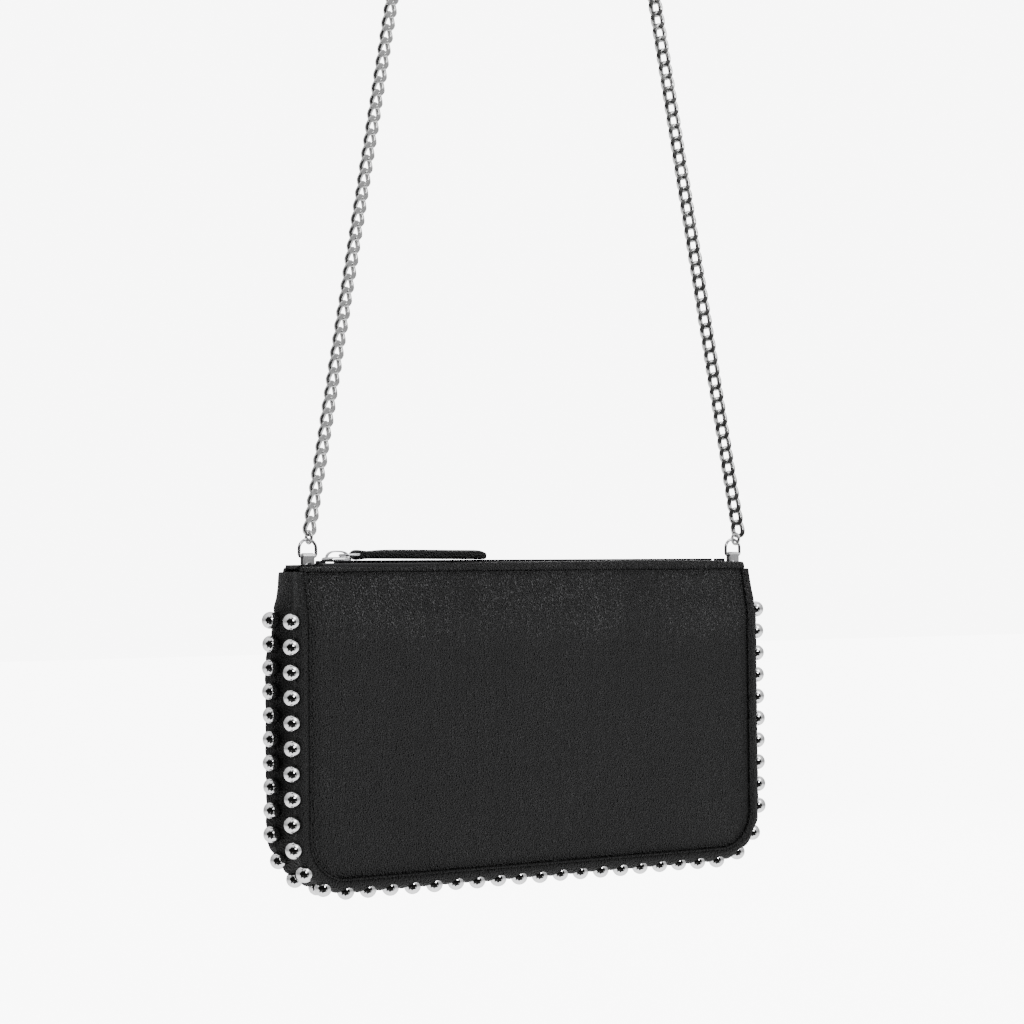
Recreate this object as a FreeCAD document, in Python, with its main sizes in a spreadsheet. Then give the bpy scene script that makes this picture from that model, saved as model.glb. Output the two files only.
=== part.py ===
"""Chain wallet: a slim zip-top leather pouch with ball studs round its edge, hanging from a curb chain.

Frame: millimetres, +Z up, +X to the wearer's right, +Y to the back. The origin is the underside of the
strap's top turn, where a hook or an arm carries it. The pouch hangs below with its zip along X.
Most pieces are drawn in the pouch's own axes, where z = 0 is the line on which the panels meet the
top bindings and x = 0 is the middle of the panels. hang() then places them in the frame.
"""

import FreeCAD, Part
import Sketcher
import math
import os

from FreeCAD import Placement, Rotation, Vector

PARTS_FOLDER = "parts"

# alias, value, what it is. Lengths are in mm and angles in degrees.
DIMENSIONS = [
    ("pouch_x", -5, "middle of the panels, from the strap's middle"),
    ("pouch_z", -327.8, "top line of the panels, below the origin"),
    ("panel_width", 200.4, "front and back panels, seam to seam"),
    ("panel_height", 113.4, "panels, from the top line to the bottom seam"),
    ("corner_radius", 15, "rounded lower corners of the panels"),
    ("depth", 23, "outside depth, panel to panel"),
    ("top_depth", 15.6, "outside depth at the top line"),
    ("taper_height", 17, "height over which the panels lean in to the zip"),
    ("leather", 1.4, "panel and gusset leather"),
    ("board", 1.0, "stiffener board"),
    ("lining", 0.6, "lining cloth"),
    ("pocket_cloth", 0.4, "pocket cloth"),
    ("gusset_outset", 3.2, "outer face of the gusset beyond the panel seam"),
    ("gusset_inset", 1.6, "inner face of the gusset beyond the panel seam"),
    ("gusset_edge", 2.2, "rounding of the gusset's long edges"),
    ("lining_outset", 0.9, "outer face of the gusset lining beyond the panel seam"),
    ("welt_radius", 0.5, "half-round welt on the panel seam"),
    ("stud_radius", 3.25, "ball of a stud"),
    ("stud_outset", 5.9, "ball centres beyond the panel seam, on the sides"),
    ("stud_outset_low", 4.5, "ball centres below the panel seam, along the bottom"),
    ("stud_row", 8.7, "ball centres in front of and behind the middle"),
    ("stud_side_count", 10, "balls down each side"),
    ("stud_corner_count", 2, "balls on each corner, evenly between their neighbours"),
    ("stud_low_count", 19, "balls in the bottom run"),
    ("front_left_first", 18.4, "front row: first ball on the left, below the top line"),
    ("front_left_pitch", 9.24, "front row: from ball to ball on the left"),
    ("front_low_half", 84.7, "front row: end balls of the bottom run, from the middle"),
    ("back_left_first", 18.0, "back row: first ball on the left, below the top line"),
    ("back_left_pitch", 8.79, "back row: from ball to ball on the left"),
    ("back_low_half", 87.8, "back row: end balls of the bottom run, from the middle"),
    ("stud_right_first", 16.8, "both rows: first ball on the right, below the top line"),
    ("stud_right_pitch", 8.94, "both rows: from ball to ball on the right"),
    ("post_radius", 0.8, "post of a stud, through the gusset"),
    ("washer_radius", 1.25, "clinched washer on a post, inside the gusset"),
    ("binding_height", 3.2, "leather binding above the top line"),
    ("binding_outer", 8.0, "outer face of a binding, from the middle"),
    ("binding_inner", 5.2, "inner face of a binding, from the middle"),
    ("binding_tongue", 6, "part of a binding that is sewn behind its panel"),
    ("tape_z", 2.6, "underside of the zip tapes"),
    ("tape", 0.5, "thickness of the zip tapes"),
    ("tape_edge", 1.2, "inner edge of a tape, from the middle"),
    ("tape_left", -91, "left end of the tapes"),
    ("tape_right", 96, "right end of the tapes"),
    ("tooth_pitch", 2.0, "zip teeth on one tape"),
    ("tooth_length", 1.1, "one tooth along the zip"),
    ("tooth_bottom", 1.6, "underside of the teeth"),
    ("tooth_top", 4.1, "top of the teeth"),
    ("tooth_root", 2.1, "root of a tooth, from the middle"),
    ("tooth_head", 0.7, "reach of a tooth past the middle"),
    ("teeth_left", -83.4, "left end of the teeth, under the closed slider"),
    ("teeth_right", 92, "right end of the teeth"),
    ("slider_left", -88.2, "left end of the closed slider"),
    ("slider_length", 10.4, "slider along the zip"),
    ("slider_width", 8.0, "slider across the zip"),
    ("slider_plate", 1.0, "thickness of the slider's plates and flanges"),
    ("slider_gap", 0.2, "gap between the teeth and the slider's plates"),
    ("bridge_width", 3.0, "bridge across the zip"),
    ("bridge_sheet", 0.8, "thickness of the bridge"),
    ("bridge_top", 7.45, "top of the bridge"),
    ("ring_wire", 0.6, "radius of the pull ring's wire"),
    ("ring_x", -80.1, "crossbar of the pull ring in the bridge"),
    ("ring_z", 5.95, "height of that crossbar"),
    ("ring_reach", 5.3, "from that crossbar to the one in the pull tab"),
    ("ring_span", 3.1, "side rail of the pull ring, from the middle"),
    ("ring_tilt", 1.5, "slope of the pull ring"),
    ("tab_length", 55.5, "pull tab beyond the crossbar"),
    ("tab_width", 8.0, "pull tab"),
    ("tab_neck", 4.6, "neck of the pull tab, inside the ring"),
    ("tab_sheet", 3.0, "both layers of the pull tab"),
    ("tab_head", 1.95, "outer radius of the fold round the crossbar"),
    ("tab_bore", 0.68, "inner radius of the fold"),
    ("tab_tilt", 0.45, "slope of the pull tab"),
    ("hinge_z", 5.5, "axis on which the pouch hangs in its strap rings"),
    ("clip_left", -95, "middle of the left clip"),
    ("clip_right", 101.2, "middle of the right clip"),
    ("clip_width", 4.6, "clips along the zip"),
    ("clip_sheet", 0.7, "thickness of the clips"),
    ("clip_eye", 0.68, "inner radius of the clips' eyes"),
    ("clip_drop", 5.2, "from the eye's axis to the clip's lower edge"),
    ("rivet_radius", 0.7, "shank of the clip rivets"),
    ("rivet_head", 1.3, "heads of the clip rivets"),
    ("rivet_drop", 3.5, "from the eye's axis to the rivet"),
    ("strap_wire", 0.6, "radius of the strap rings' and end links' wire"),
    ("strap_ring_span", 3.5, "side of a strap ring, from its middle"),
    ("strap_ring_rise", 6.4, "from a strap ring's straight bar to its crown"),
    ("end_link_radius", 2.2, "wire's centre line in an end link"),
    ("link_rise_left", 7.2, "middle of the left end link above the hinge axis"),
    ("link_rise_right", 6.65, "middle of the right end link above the hinge axis"),
    ("link_shift_left", 0.6, "left end link beyond the middle of its clip"),
    ("link_shift_right", 1.6, "right end link beyond the middle of its clip"),
    ("chain_width", 5.8, "width of the chain's links"),
]

# The chain's centre line in the frame: up from the left end link, over the top turn and down to the
# right one. The turn's corners lie round a circle of 50 mm radius, the size of an upper arm.
CHAIN_ROUTE = [
    (-99, 0, -311.6),
    (-46.15, 0, -20.43),
    (-18.2, 0, 2.9),
    (18.2, 0, 2.9),
    (46.15, 0, -20.43),
    (99, 0, -311.6),
]
ARC_SHARE = 0.45

FRONT, BACK = -1, 1

doc = FreeCAD.newDocument("chain_wallet")
sheet = doc.addObject("Spreadsheet::Sheet", "dims")
for row, (alias, amount, note) in enumerate(DIMENSIONS, start=1):
    sheet.set(f"A{row}", str(amount))
    sheet.setAlias(f"A{row}", alias)
    sheet.set(f"B{row}", note)
doc.recompute()

subparts = []


# ---------------------------------------------------------------- helpers


def dim(name):
    """A driving dimension's number."""
    return float(getattr(sheet, name))


def bound(expression):
    """An expression over the sheet's aliases, as other objects write it."""
    words, word = [], ""
    for letter in expression + " ":
        if letter.isalnum() or letter == "_":
            word += letter
            continue
        words.append("dims." + word if word and word[0].isalpha() else word)
        words.append(letter)
        word = ""
    return "".join(words).strip()


def amount(expression):
    """The value of an expression over the sheet's aliases."""
    return float(sheet.evalExpression(expression))


def keep(piece, label):
    """Names a finished piece, which is then written to its own file."""
    piece.Label = label
    subparts.append(piece)
    return piece


def hang(piece):
    """Places a piece that is drawn in the pouch's axes."""
    piece.setExpression("Placement.Base.x", "dims.pouch_x")
    piece.setExpression("Placement.Base.z", "dims.pouch_z")
    return piece


def new_body(name):
    return doc.addObject("PartDesign::Body", name)


def new_sketch(body, plane, offset="0"):
    """A sketch on one of the body's origin planes, moved along the plane's normal by offset."""
    sketch = body.newObject("Sketcher::SketchObject", body.Name + "_sketch")
    origin = [f for f in body.Origin.OriginFeatures if f.Role == plane][0]
    sketch.AttachmentSupport = [(origin, "")]
    sketch.MapMode = "FlatFace"
    if offset != "0":
        sketch.setExpression("AttachmentOffset.Base.z", bound(offset))
    return sketch


def pin_point(sketch, line, end, corner):
    """Holds a line's end at a corner that is given by two expressions."""
    for kind, expression in zip(("DistanceX", "DistanceY"), corner):
        index = sketch.addConstraint(
            Sketcher.Constraint(kind, -1, 1, line, end, amount(expression))
        )
        sketch.setExpression(f"Constraints[{index}]", bound(expression))


def draw_polygon(sketch, corners):
    """A closed outline through corners, each a pair of expressions."""
    points = [Vector(amount(u), amount(v), 0) for u, v in corners]
    first = sketch.GeometryCount
    count = len(points)
    for i, point in enumerate(points):
        sketch.addGeometry(Part.LineSegment(point, points[(i + 1) % count]), False)
    for i, corner in enumerate(corners):
        following = first + (i + 1) % count
        sketch.addConstraint(Sketcher.Constraint("Coincident", first + i, 2, following, 1))
        pin_point(sketch, first + i, 1, corner)


def draw_rectangle(sketch, left, right, low, high):
    draw_polygon(sketch, [(left, low), (right, low), (right, high), (left, high)])


def draw_circle(sketch, u, v, radius):
    circle = Part.Circle(Vector(amount(u), amount(v), 0), Vector(0, 0, 1), amount(radius))
    index = sketch.addGeometry(circle, False)
    pin_point(sketch, index, 3, (u, v))
    size = sketch.addConstraint(Sketcher.Constraint("Radius", index, amount(radius)))
    sketch.setExpression(f"Constraints[{size}]", bound(radius))


def pad(body, sketch, length, symmetric=True):
    """A pad of the sketch, to both sides of its plane or along its normal."""
    feature = body.newObject("PartDesign::Pad", body.Name + "_pad")
    feature.Profile = sketch
    feature.SideType = "Symmetric" if symmetric else "One side"
    feature.setExpression("Length", bound(length))
    doc.recompute()
    return feature


def pocket(body, sketch, length):
    """A pocket to both sides of the sketch's plane, which has to cut something."""
    before = body.Shape.Volume
    feature = body.newObject("PartDesign::Pocket", body.Name + "_pocket")
    feature.Profile = sketch
    feature.SideType = "Symmetric"
    feature.setExpression("Length", bound(length))
    doc.recompute()
    if body.Shape.Volume > before - 1e-6:
        raise RuntimeError(f"{feature.Name} cuts nothing")
    return feature


def round_edges(body, wanted, radius, kind="Fillet"):
    """Rounds the edges of the body's tip whose middle and direction wanted() accepts."""
    base, names = body.Tip, []
    for i, edge in enumerate(base.Shape.Edges, start=1):
        middle = edge.valueAt((edge.FirstParameter + edge.LastParameter) / 2)
        along = edge.tangentAt((edge.FirstParameter + edge.LastParameter) / 2)
        if wanted(middle, along):
            names.append(f"Edge{i}")
    if not names:
        raise RuntimeError(f"{body.Name} has no such edge to round")
    feature = body.newObject("PartDesign::" + kind, body.Name + "_" + kind.lower())
    feature.Base = (base, names)
    feature.setExpression("Radius" if kind == "Fillet" else "Size", bound(radius))
    doc.recompute()
    return feature


def lean(side, inward, height):
    """Expression for y on the face that is `inward` inside the outer face, at a height under the top line
    and within the part that leans in to the zip."""
    slope = "(depth - top_depth) / 2 / taper_height"
    sign = "-1" if side == FRONT else "1"
    return f"{sign} * (top_depth / 2 - ({inward}) - ({height}) * {slope})"


def straight(side, inward):
    """Expression for y on the face that is `inward` inside the outer face, below the lean."""
    sign = "-1" if side == FRONT else "1"
    return f"{sign} * (depth / 2 - ({inward}))"


def side_word(side):
    return "front" if side == FRONT else "back"


def layer(name, side, outer, inner, half_width, low, high, radius):
    """A sheet that follows the front or the back: straight, then leaning in towards the zip.
    outer and inner are depths under the outside face, low and high are heights."""
    body = new_body(name)
    sketch = new_sketch(body, "YZ_Plane")
    if amount(f"{high} + taper_height") > 0:
        corners = [
            (straight(side, outer), low),
            (straight(side, outer), "-taper_height"),
            (lean(side, outer, high), high),
            (lean(side, inner, high), high),
            (straight(side, inner), "-taper_height"),
            (straight(side, inner), low),
        ]
    else:
        corners = [
            (straight(side, outer), low),
            (straight(side, outer), high),
            (straight(side, inner), high),
            (straight(side, inner), low),
        ]
    draw_polygon(sketch, corners)
    pad(body, sketch, f"2 * ({half_width})")
    floor = amount(low)

    def lower_corner(middle, along):
        return abs(along.y) > 0.9 and abs(middle.z - floor) < 0.01 and abs(middle.x) > 1

    if radius:
        round_edges(body, lower_corner, radius)
    return hang(keep(body, name))


def trough(name, half_width, low, high, inward, radius):
    """The solid inside the pouch's walls: straight sides that lean in at the top, round lower corners."""
    body = new_body(name)
    sketch = new_sketch(body, "YZ_Plane")
    sides = []
    for side in (FRONT, BACK):
        sides.append(
            [
                (straight(side, inward), low),
                (straight(side, inward), "-taper_height"),
                (lean(side, inward, high), high),
            ]
        )
    draw_polygon(sketch, sides[0] + sides[1][::-1])
    pad(body, sketch, f"2 * ({half_width})")
    floor = amount(low)

    def lower_corner(middle, along):
        return abs(along.y) > 0.9 and abs(middle.z - floor) < 0.01 and abs(middle.x) > 1

    round_edges(body, lower_corner, radius)
    return body


def cut(name, base, tool):
    """base less tool, as a boolean of the document."""
    feature = doc.addObject("Part::Cut", name)
    feature.Base, feature.Tool = base, tool
    doc.recompute()
    return feature


def wire_loop(name, corners, radius):
    """A closed wire ring: a round section swept along a path of lines and arcs. corners holds
    ("line", end) and ("arc", middle, end) steps, with the path's start as the first entry."""
    start = corners[0]
    edges, here = [], start
    for step in corners[1:]:
        if step[0] == "line":
            edges.append(Part.LineSegment(here, step[1]).toShape())
        else:
            edges.append(Part.Arc(here, step[1], step[2]).toShape())
        here = step[-1]
    path = Part.Wire(edges)
    tangent = edges[0].tangentAt(edges[0].FirstParameter)
    section = Part.Wire(Part.Circle(start, tangent, radius).toShape())
    solid = path.makePipeShell([section], True, True)
    feature = doc.addObject("Part::Feature", name)
    feature.Shape = solid
    return feature


def features_group(name, solids):
    """One node that holds many separate solids, drawn in the pouch's axes."""
    feature = doc.addObject("Part::Feature", name)
    feature.Shape = Part.makeCompound(solids)
    return hang(keep(feature, name))


# ---------------------------------------------------------------- panels, boards, lining and pockets


def make_shell_layers():
    for side in (FRONT, BACK):
        word = side_word(side)
        layer(f"{word}_panel", side, "0", "leather", "panel_width / 2",
              "-panel_height", "0", "corner_radius")
        layer(f"{word}_board", side, "leather", "leather + board", "panel_width / 2 - 1",
              "1 - panel_height", "-binding_tongue - 1", "corner_radius - 1")
        layer(f"{word}_lining", side, "leather + board", "leather + board + lining",
              "panel_width / 2 + lining_outset", "-panel_height - lining_outset",
              "-binding_tongue - 1", "corner_radius + lining_outset")


def make_pockets():
    """A wide slip pocket on the front lining, and card slots on the back one."""
    inner = "leather + board + lining"
    layer("slip_pocket", FRONT, inner, f"{inner} + pocket_cloth", "80",
          "4 - panel_height", "-panel_height / 2 + 8", "corner_radius - 4")
    for name, depth, high in (
        ("card_pocket", 0, "-34"),
        ("card_slot_upper", 1, "-48"),
        ("card_slot_lower", 2, "-62"),
    ):
        layer(name, BACK, f"{inner} + {depth} * pocket_cloth",
              f"{inner} + {depth + 1} * pocket_cloth", "46", "12 - panel_height", high, None)


# ---------------------------------------------------------------- gusset, welts and studs


def make_gusset():
    """The studded strip round both sides and the bottom, in one with its turned edges."""
    outer = trough("gusset_outside", "panel_width / 2 + gusset_outset",
                   "-panel_height - gusset_outset", "0", "0", "corner_radius + gusset_outset")
    half = amount("depth / 2")
    start = amount("-taper_height")

    def long_edge(middle, along):
        at_side = abs(abs(middle.y) - half) < 0.01 and middle.z < start - 0.01
        return at_side and abs(along.y) < 0.1

    round_edges(outer, long_edge, "gusset_edge")
    inside = trough("gusset_inside", "panel_width / 2 + gusset_inset",
                    "-panel_height - gusset_inset", "2", "leather",
                    "corner_radius + gusset_inset")
    hollow = cut("gusset_hollow", outer, inside)
    window = new_body("gusset_window")
    sketch = new_sketch(window, "XZ_Plane")
    draw_rectangle(sketch, "-panel_width / 2", "panel_width / 2", "-panel_height", "5")
    pad(window, sketch, "depth + 4")
    floor = amount("-panel_height")

    def lower_corner(middle, along):
        return abs(along.y) > 0.9 and abs(middle.z - floor) < 0.01

    round_edges(window, lower_corner, "corner_radius")
    hang(keep(cut("gusset_strip", hollow, window), "gusset"))


def make_gusset_lining():
    outer = trough("lining_outside", "panel_width / 2 + lining_outset",
                   "-panel_height - lining_outset", "-binding_tongue - 1",
                   "leather + board + lining", "corner_radius + lining_outset")
    inner = trough("lining_inside", "panel_width / 2 + lining_outset - lining",
                   "-panel_height - lining_outset + lining", "0",
                   "leather + board", "corner_radius + lining_outset - lining")
    hang(keep(cut("lining_strip", outer, inner), "gusset_lining"))


def seam_path(outset, side, height):
    """The edges of a U beyond the panel seam, in a plane of constant y: down the left, along the
    bottom and up the right, from `height` below the top line."""
    width = dim("panel_width") / 2
    low = -dim("panel_height")
    radius = dim("corner_radius")
    reach = radius + outset
    bend = reach * math.sqrt(0.5)
    y = side * dim("depth") / 2
    left, right = -width - outset, width + outset
    base = low - outset
    corner_left = Vector(-width + radius, y, low + radius)
    corner_right = Vector(width - radius, y, low + radius)
    return [
        Part.LineSegment(Vector(left, y, -height), Vector(left, y, low + radius)),
        Part.Arc(Vector(left, y, low + radius), corner_left + Vector(-bend, 0, -bend),
                 Vector(-width + radius, y, base)),
        Part.LineSegment(Vector(-width + radius, y, base), Vector(width - radius, y, base)),
        Part.Arc(Vector(width - radius, y, base), corner_right + Vector(bend, 0, -bend),
                 Vector(right, y, low + radius)),
        Part.LineSegment(Vector(right, y, low + radius), Vector(right, y, -height)),
    ]


def make_welts():
    """A half-round welt on the gusset, all along each panel seam below the lean."""
    radius = dim("welt_radius")
    for side in (FRONT, BACK):
        path = Part.Wire([curve.toShape() for curve in seam_path(radius, side, dim("taper_height"))])
        start = path.Vertexes[0].Point
        crown = start + Vector(0, side * radius, 0)
        across = Vector(radius, 0, 0)
        section = Part.Wire([
            Part.Arc(start - across, crown, start + across).toShape(),
            Part.LineSegment(start + across, start - across).toShape(),
        ])
        features_group(f"{side_word(side)}_welt", [path.makePipeShell([section], True, True)])


def stud_distances(side, length):
    """How far along the studs' line each ball of a row is, from the top line on the left. The sides
    and the bottom run are each evenly spaced, and so are the balls between them on the corners."""
    row = side_word(side)
    count, corner_count = int(dim("stud_side_count")), int(dim("stud_corner_count"))
    low_count, half = int(dim("stud_low_count")), dim(f"{row}_low_half")
    left = [dim(f"{row}_left_first") + i * dim(f"{row}_left_pitch") for i in range(count)]
    bottom = [length / 2 - half + 2 * half * i / (low_count - 1) for i in range(low_count)]
    right = [length - dim("stud_right_first") - i * dim("stud_right_pitch") for i in range(count)]
    right.reverse()

    def between(start, end):
        return [start + (end - start) * (i + 1) / (corner_count + 1) for i in range(corner_count)]

    return left + between(left[-1], bottom[0]) + bottom + between(bottom[-1], right[0]) + right


def stud_places(side):
    """Seam point, outward direction and outset of each ball in a row."""
    outset = dim("stud_outset")
    curves = seam_path(outset, FRONT, 0)
    lengths = [curve.length() for curve in curves]
    places = []
    for distance in stud_distances(side, sum(lengths)):
        index = 0
        while distance > lengths[index] + 1e-6 and index < len(curves) - 1:
            distance -= lengths[index]
            index += 1
        curve = curves[index]
        at = curve.parameterAtDistance(min(distance, lengths[index]), curve.FirstParameter)
        outward = curve.tangent(at)[0].cross(Vector(0, -1, 0))
        if outward.dot(curve.value(at) - Vector(0, 0, -dim("panel_height") / 2)) < 0:
            outward = -outward
        outward.normalize()
        lower = -outward.z if outward.z < 0 else 0
        reach = outset + (dim("stud_outset_low") - outset) * lower
        places.append((curve.value(at) - outward * outset, outward, reach))
    return places


def make_studs():
    """Ball caps on the outside of the gusset, and the posts and washers that hold them."""
    radius, face = dim("stud_radius"), dim("gusset_outset")
    wall = face - dim("gusset_inset")
    washer = dim("gusset_inset") - dim("lining_outset") - 0.05
    for side in (FRONT, BACK):
        balls, posts = [], []
        for seam_point, outward, reach in stud_places(side):
            row = Vector(seam_point.x, side * dim("stud_row"), seam_point.z)
            base_angle = -math.degrees(math.asin((reach - face) / radius))
            balls.append(Part.makeSphere(radius, row + outward * reach, outward, base_angle, 90, 360))
            foot = row + outward * (face - wall - washer)
            post = Part.makeCylinder(dim("post_radius"), wall + washer, foot, outward)
            disc = Part.makeCylinder(dim("washer_radius"), washer, foot, outward)
            posts.append(post.fuse(disc).removeSplitter())
        features_group(f"stud_balls_{side_word(side)}", balls)
        features_group(f"stud_posts_{side_word(side)}", posts)


# ---------------------------------------------------------------- top edge and zip


def make_bindings():
    """Folded leather strips that cap the panels' top edges, with a tongue behind each panel."""
    for side in (FRONT, BACK):
        body = new_body(f"top_binding_{side_word(side)}")
        sign = "-1" if side == FRONT else "1"
        behind = f"{sign} * (top_depth / 2 - leather)"
        outer, inner = f"{sign} * binding_outer", f"{sign} * binding_inner"
        sketch = new_sketch(body, "YZ_Plane")
        draw_polygon(sketch, [
            (outer, "0"), (outer, "binding_height"), (inner, "binding_height"),
            (inner, "-binding_tongue"), (behind, "-binding_tongue"), (behind, "0"),
        ])
        pad(body, sketch, "panel_width + 2 * gusset_inset - 0.2")
        top = dim("binding_height")

        def upper_edge(middle, along):
            return abs(along.x) > 0.9 and abs(middle.z - top) < 0.01

        round_edges(body, upper_edge, "leather * 0.8")
        hang(keep(body, body.Name))


def make_tapes():
    """Zip tapes: sewn down inside the bindings, turned in level with the teeth."""
    middle_x = "(tape_left + tape_right) / 2"
    for side in (FRONT, BACK):
        body = new_body(f"zip_tape_{side_word(side)}")
        sign = "-1" if side == FRONT else "1"
        wall, inside = f"{sign} * binding_inner", f"{sign} * (binding_inner - tape)"
        edge = f"{sign} * tape_edge"
        sketch = new_sketch(body, "YZ_Plane", middle_x)
        draw_polygon(sketch, [
            (wall, "-binding_tongue"), (wall, "tape_z + tape"), (edge, "tape_z + tape"),
            (edge, "tape_z"), (inside, "tape_z"), (inside, "-binding_tongue"),
        ])
        pad(body, sketch, "tape_right - tape_left")
        hang(keep(body, body.Name))


def tooth(x, side):
    """One zip tooth, clamped on its tape's edge: a square root and a narrower, rounded head."""
    half = dim("tooth_length") / 2
    low, high = dim("tooth_bottom"), dim("tooth_top")
    root, head = side * dim("tooth_root"), -side * dim("tooth_head")
    neck = side * dim("tape_edge") / 2
    outline = [
        (x - half, root), (x + half, root), (x + half, neck),
        (x + half * 0.8, head * 0.6), (x + half * 0.4, head),
        (x - half * 0.4, head), (x - half * 0.8, head * 0.6), (x - half, neck),
    ]
    corners = [Vector(u, v, low) for u, v in outline]
    face = Part.Face(Part.makePolygon(corners + corners[:1]))
    return face.extrude(Vector(0, 0, high - low))


def make_teeth():
    """Two rows of teeth, half a pitch apart."""
    pitch = dim("tooth_pitch")
    count = int((dim("teeth_right") - dim("teeth_left")) / pitch)
    for side, shift in ((FRONT, 0), (BACK, pitch / 2)):
        row = [tooth(dim("teeth_left") + shift + i * pitch, side) for i in range(count)]
        features_group(f"zip_teeth_{side_word(side)}", row)


def block(name, left, right, near, far, low, high, label=True):
    """A box between expressions, as a pad. It is a finished piece if label is true."""
    body = new_body(name)
    sketch = new_sketch(body, "XY_Plane", low)
    draw_rectangle(sketch, left, right, near, far)
    pad(body, sketch, f"({high}) - ({low})", symmetric=False)
    if label:
        hang(keep(body, name))
    return body


def make_stops():
    """Metal stops: one on each tape at the closed end, one across both at the open end."""
    for side in (FRONT, BACK):
        near, far = sorted((side * 0.7, side * 2.3))
        block(f"zip_top_stop_{side_word(side)}", "tape_left + 0.4", "slider_left - 0.4",
              str(near), str(far), "tooth_bottom", "tooth_top - 0.1")
    block("zip_bottom_stop", "teeth_right + 1.2", "teeth_right + 3.4",
          "-tooth_root - 0.2", "tooth_root + 0.2", "tooth_bottom", "tooth_top")


def make_slider():
    """The slider's two plates, whose long edges are turned in over the tapes."""
    ends = (dim("slider_left"), dim("slider_left") + dim("slider_length"))
    side = dim("slider_width") / 2

    def upright_corner(middle, along):
        at_end = min(abs(middle.x - end) for end in ends) < 0.01
        return abs(along.z) > 0.9 and at_end and abs(abs(middle.y) - side) < 0.01

    flange, wide = "(slider_width / 2 - slider_plate)", "(slider_width / 2)"
    for name, face, outside, rim in (
        ("slider_top_plate", "tooth_top + slider_gap", "tooth_top + slider_gap + slider_plate",
         "tape_z + tape + 0.35"),
        ("slider_lower_plate", "tooth_bottom - slider_gap", "tooth_bottom - slider_gap - slider_plate",
         "tape_z - 0.35"),
    ):
        body = new_body(name)
        sketch = new_sketch(body, "YZ_Plane", "slider_left + slider_length / 2")
        draw_polygon(sketch, [
            (f"-{wide}", outside), (wide, outside), (wide, rim), (flange, rim), (flange, face),
            (f"-{flange}", face), (f"-{flange}", rim), (f"-{wide}", rim),
        ])
        pad(body, sketch, "slider_length")
        round_edges(body, upright_corner, "slider_plate * 1.5")
        hang(keep(body, name))


def make_bridge():
    """An arched strap on the slider's top plate, which holds the pull ring."""
    body = new_body("slider_bridge")
    base = "(tooth_top + slider_gap + slider_plate)"
    left, right = "(slider_left + 0.9)", "(slider_left + slider_length - 0.5)"
    inside = "(bridge_top - bridge_sheet)"
    sketch = new_sketch(body, "XZ_Plane")
    draw_polygon(sketch, [
        (left, base), (f"{left} + 1.4", "bridge_top"), (f"{right} - 1", "bridge_top"),
        (right, "bridge_top - 1"), (right, base), (f"{right} - bridge_sheet", base),
        (f"{right} - bridge_sheet", inside), (f"{left} + 2.2", inside),
        (f"{left} + 1.3", base),
    ])
    pad(body, sketch, "bridge_width")
    hang(keep(body, "slider_bridge"))


def make_pull():
    """The rectangular wire ring in the bridge, and the folded leather tab on it."""
    reach, span = dim("ring_reach"), dim("ring_span")
    bend = 0.7
    turn = bend * (1 - math.sqrt(0.5))
    ring = wire_loop("pull_ring", [
        Vector(0, 0, 0),
        ("line", Vector(0, span - bend, 0)),
        ("arc", Vector(turn, span - turn, 0), Vector(bend, span, 0)),
        ("line", Vector(reach - bend, span, 0)),
        ("arc", Vector(reach - turn, span - turn, 0), Vector(reach, span - bend, 0)),
        ("line", Vector(reach, bend - span, 0)),
        ("arc", Vector(reach - turn, turn - span, 0), Vector(reach - bend, -span, 0)),
        ("line", Vector(bend, -span, 0)),
        ("arc", Vector(turn, turn - span, 0), Vector(0, bend - span, 0)),
        ("line", Vector(0, 0, 0)),
    ], dim("ring_wire"))
    pivot = Vector(dim("pouch_x") + dim("ring_x"), 0, dim("pouch_z") + dim("ring_z"))
    ring.Placement = Placement(pivot, Rotation(Vector(0, 1, 0), -dim("ring_tilt")))
    keep(ring, "pull_ring")

    tab = new_body("pull_tab")
    plan = new_sketch(tab, "XY_Plane")
    draw_polygon(plan, [
        ("0", "-tab_neck / 2"), ("tab_head + 1.5", "-tab_neck / 2"),
        ("tab_head + 6", "-tab_width / 2"), ("tab_length", "-tab_width / 2"),
        ("tab_length", "tab_width / 2"), ("tab_head + 6", "tab_width / 2"),
        ("tab_head + 1.5", "tab_neck / 2"), ("0", "tab_neck / 2"),
    ])
    pad(tab, plan, "tab_sheet")
    end = dim("tab_length")

    def tip_corner(middle, along):
        return abs(along.z) > 0.9 and abs(middle.x - end) < 0.01

    round_edges(tab, tip_corner, "tab_width * 0.4")
    head = new_sketch(tab, "XZ_Plane")
    draw_circle(head, "0", "0", "tab_head")
    pad(tab, head, "tab_neck")
    bore = new_sketch(tab, "XZ_Plane")
    draw_circle(bore, "0", "0", "tab_bore")
    pocket(tab, bore, "tab_width * 2")
    crossbar = ring.Placement.multVec(Vector(reach, 0, 0))
    tab.Placement = Placement(crossbar, Rotation(Vector(0, 1, 0), dim("tab_tilt")))
    keep(tab, "pull_tab")


# ---------------------------------------------------------------- ends of the zip


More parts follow.
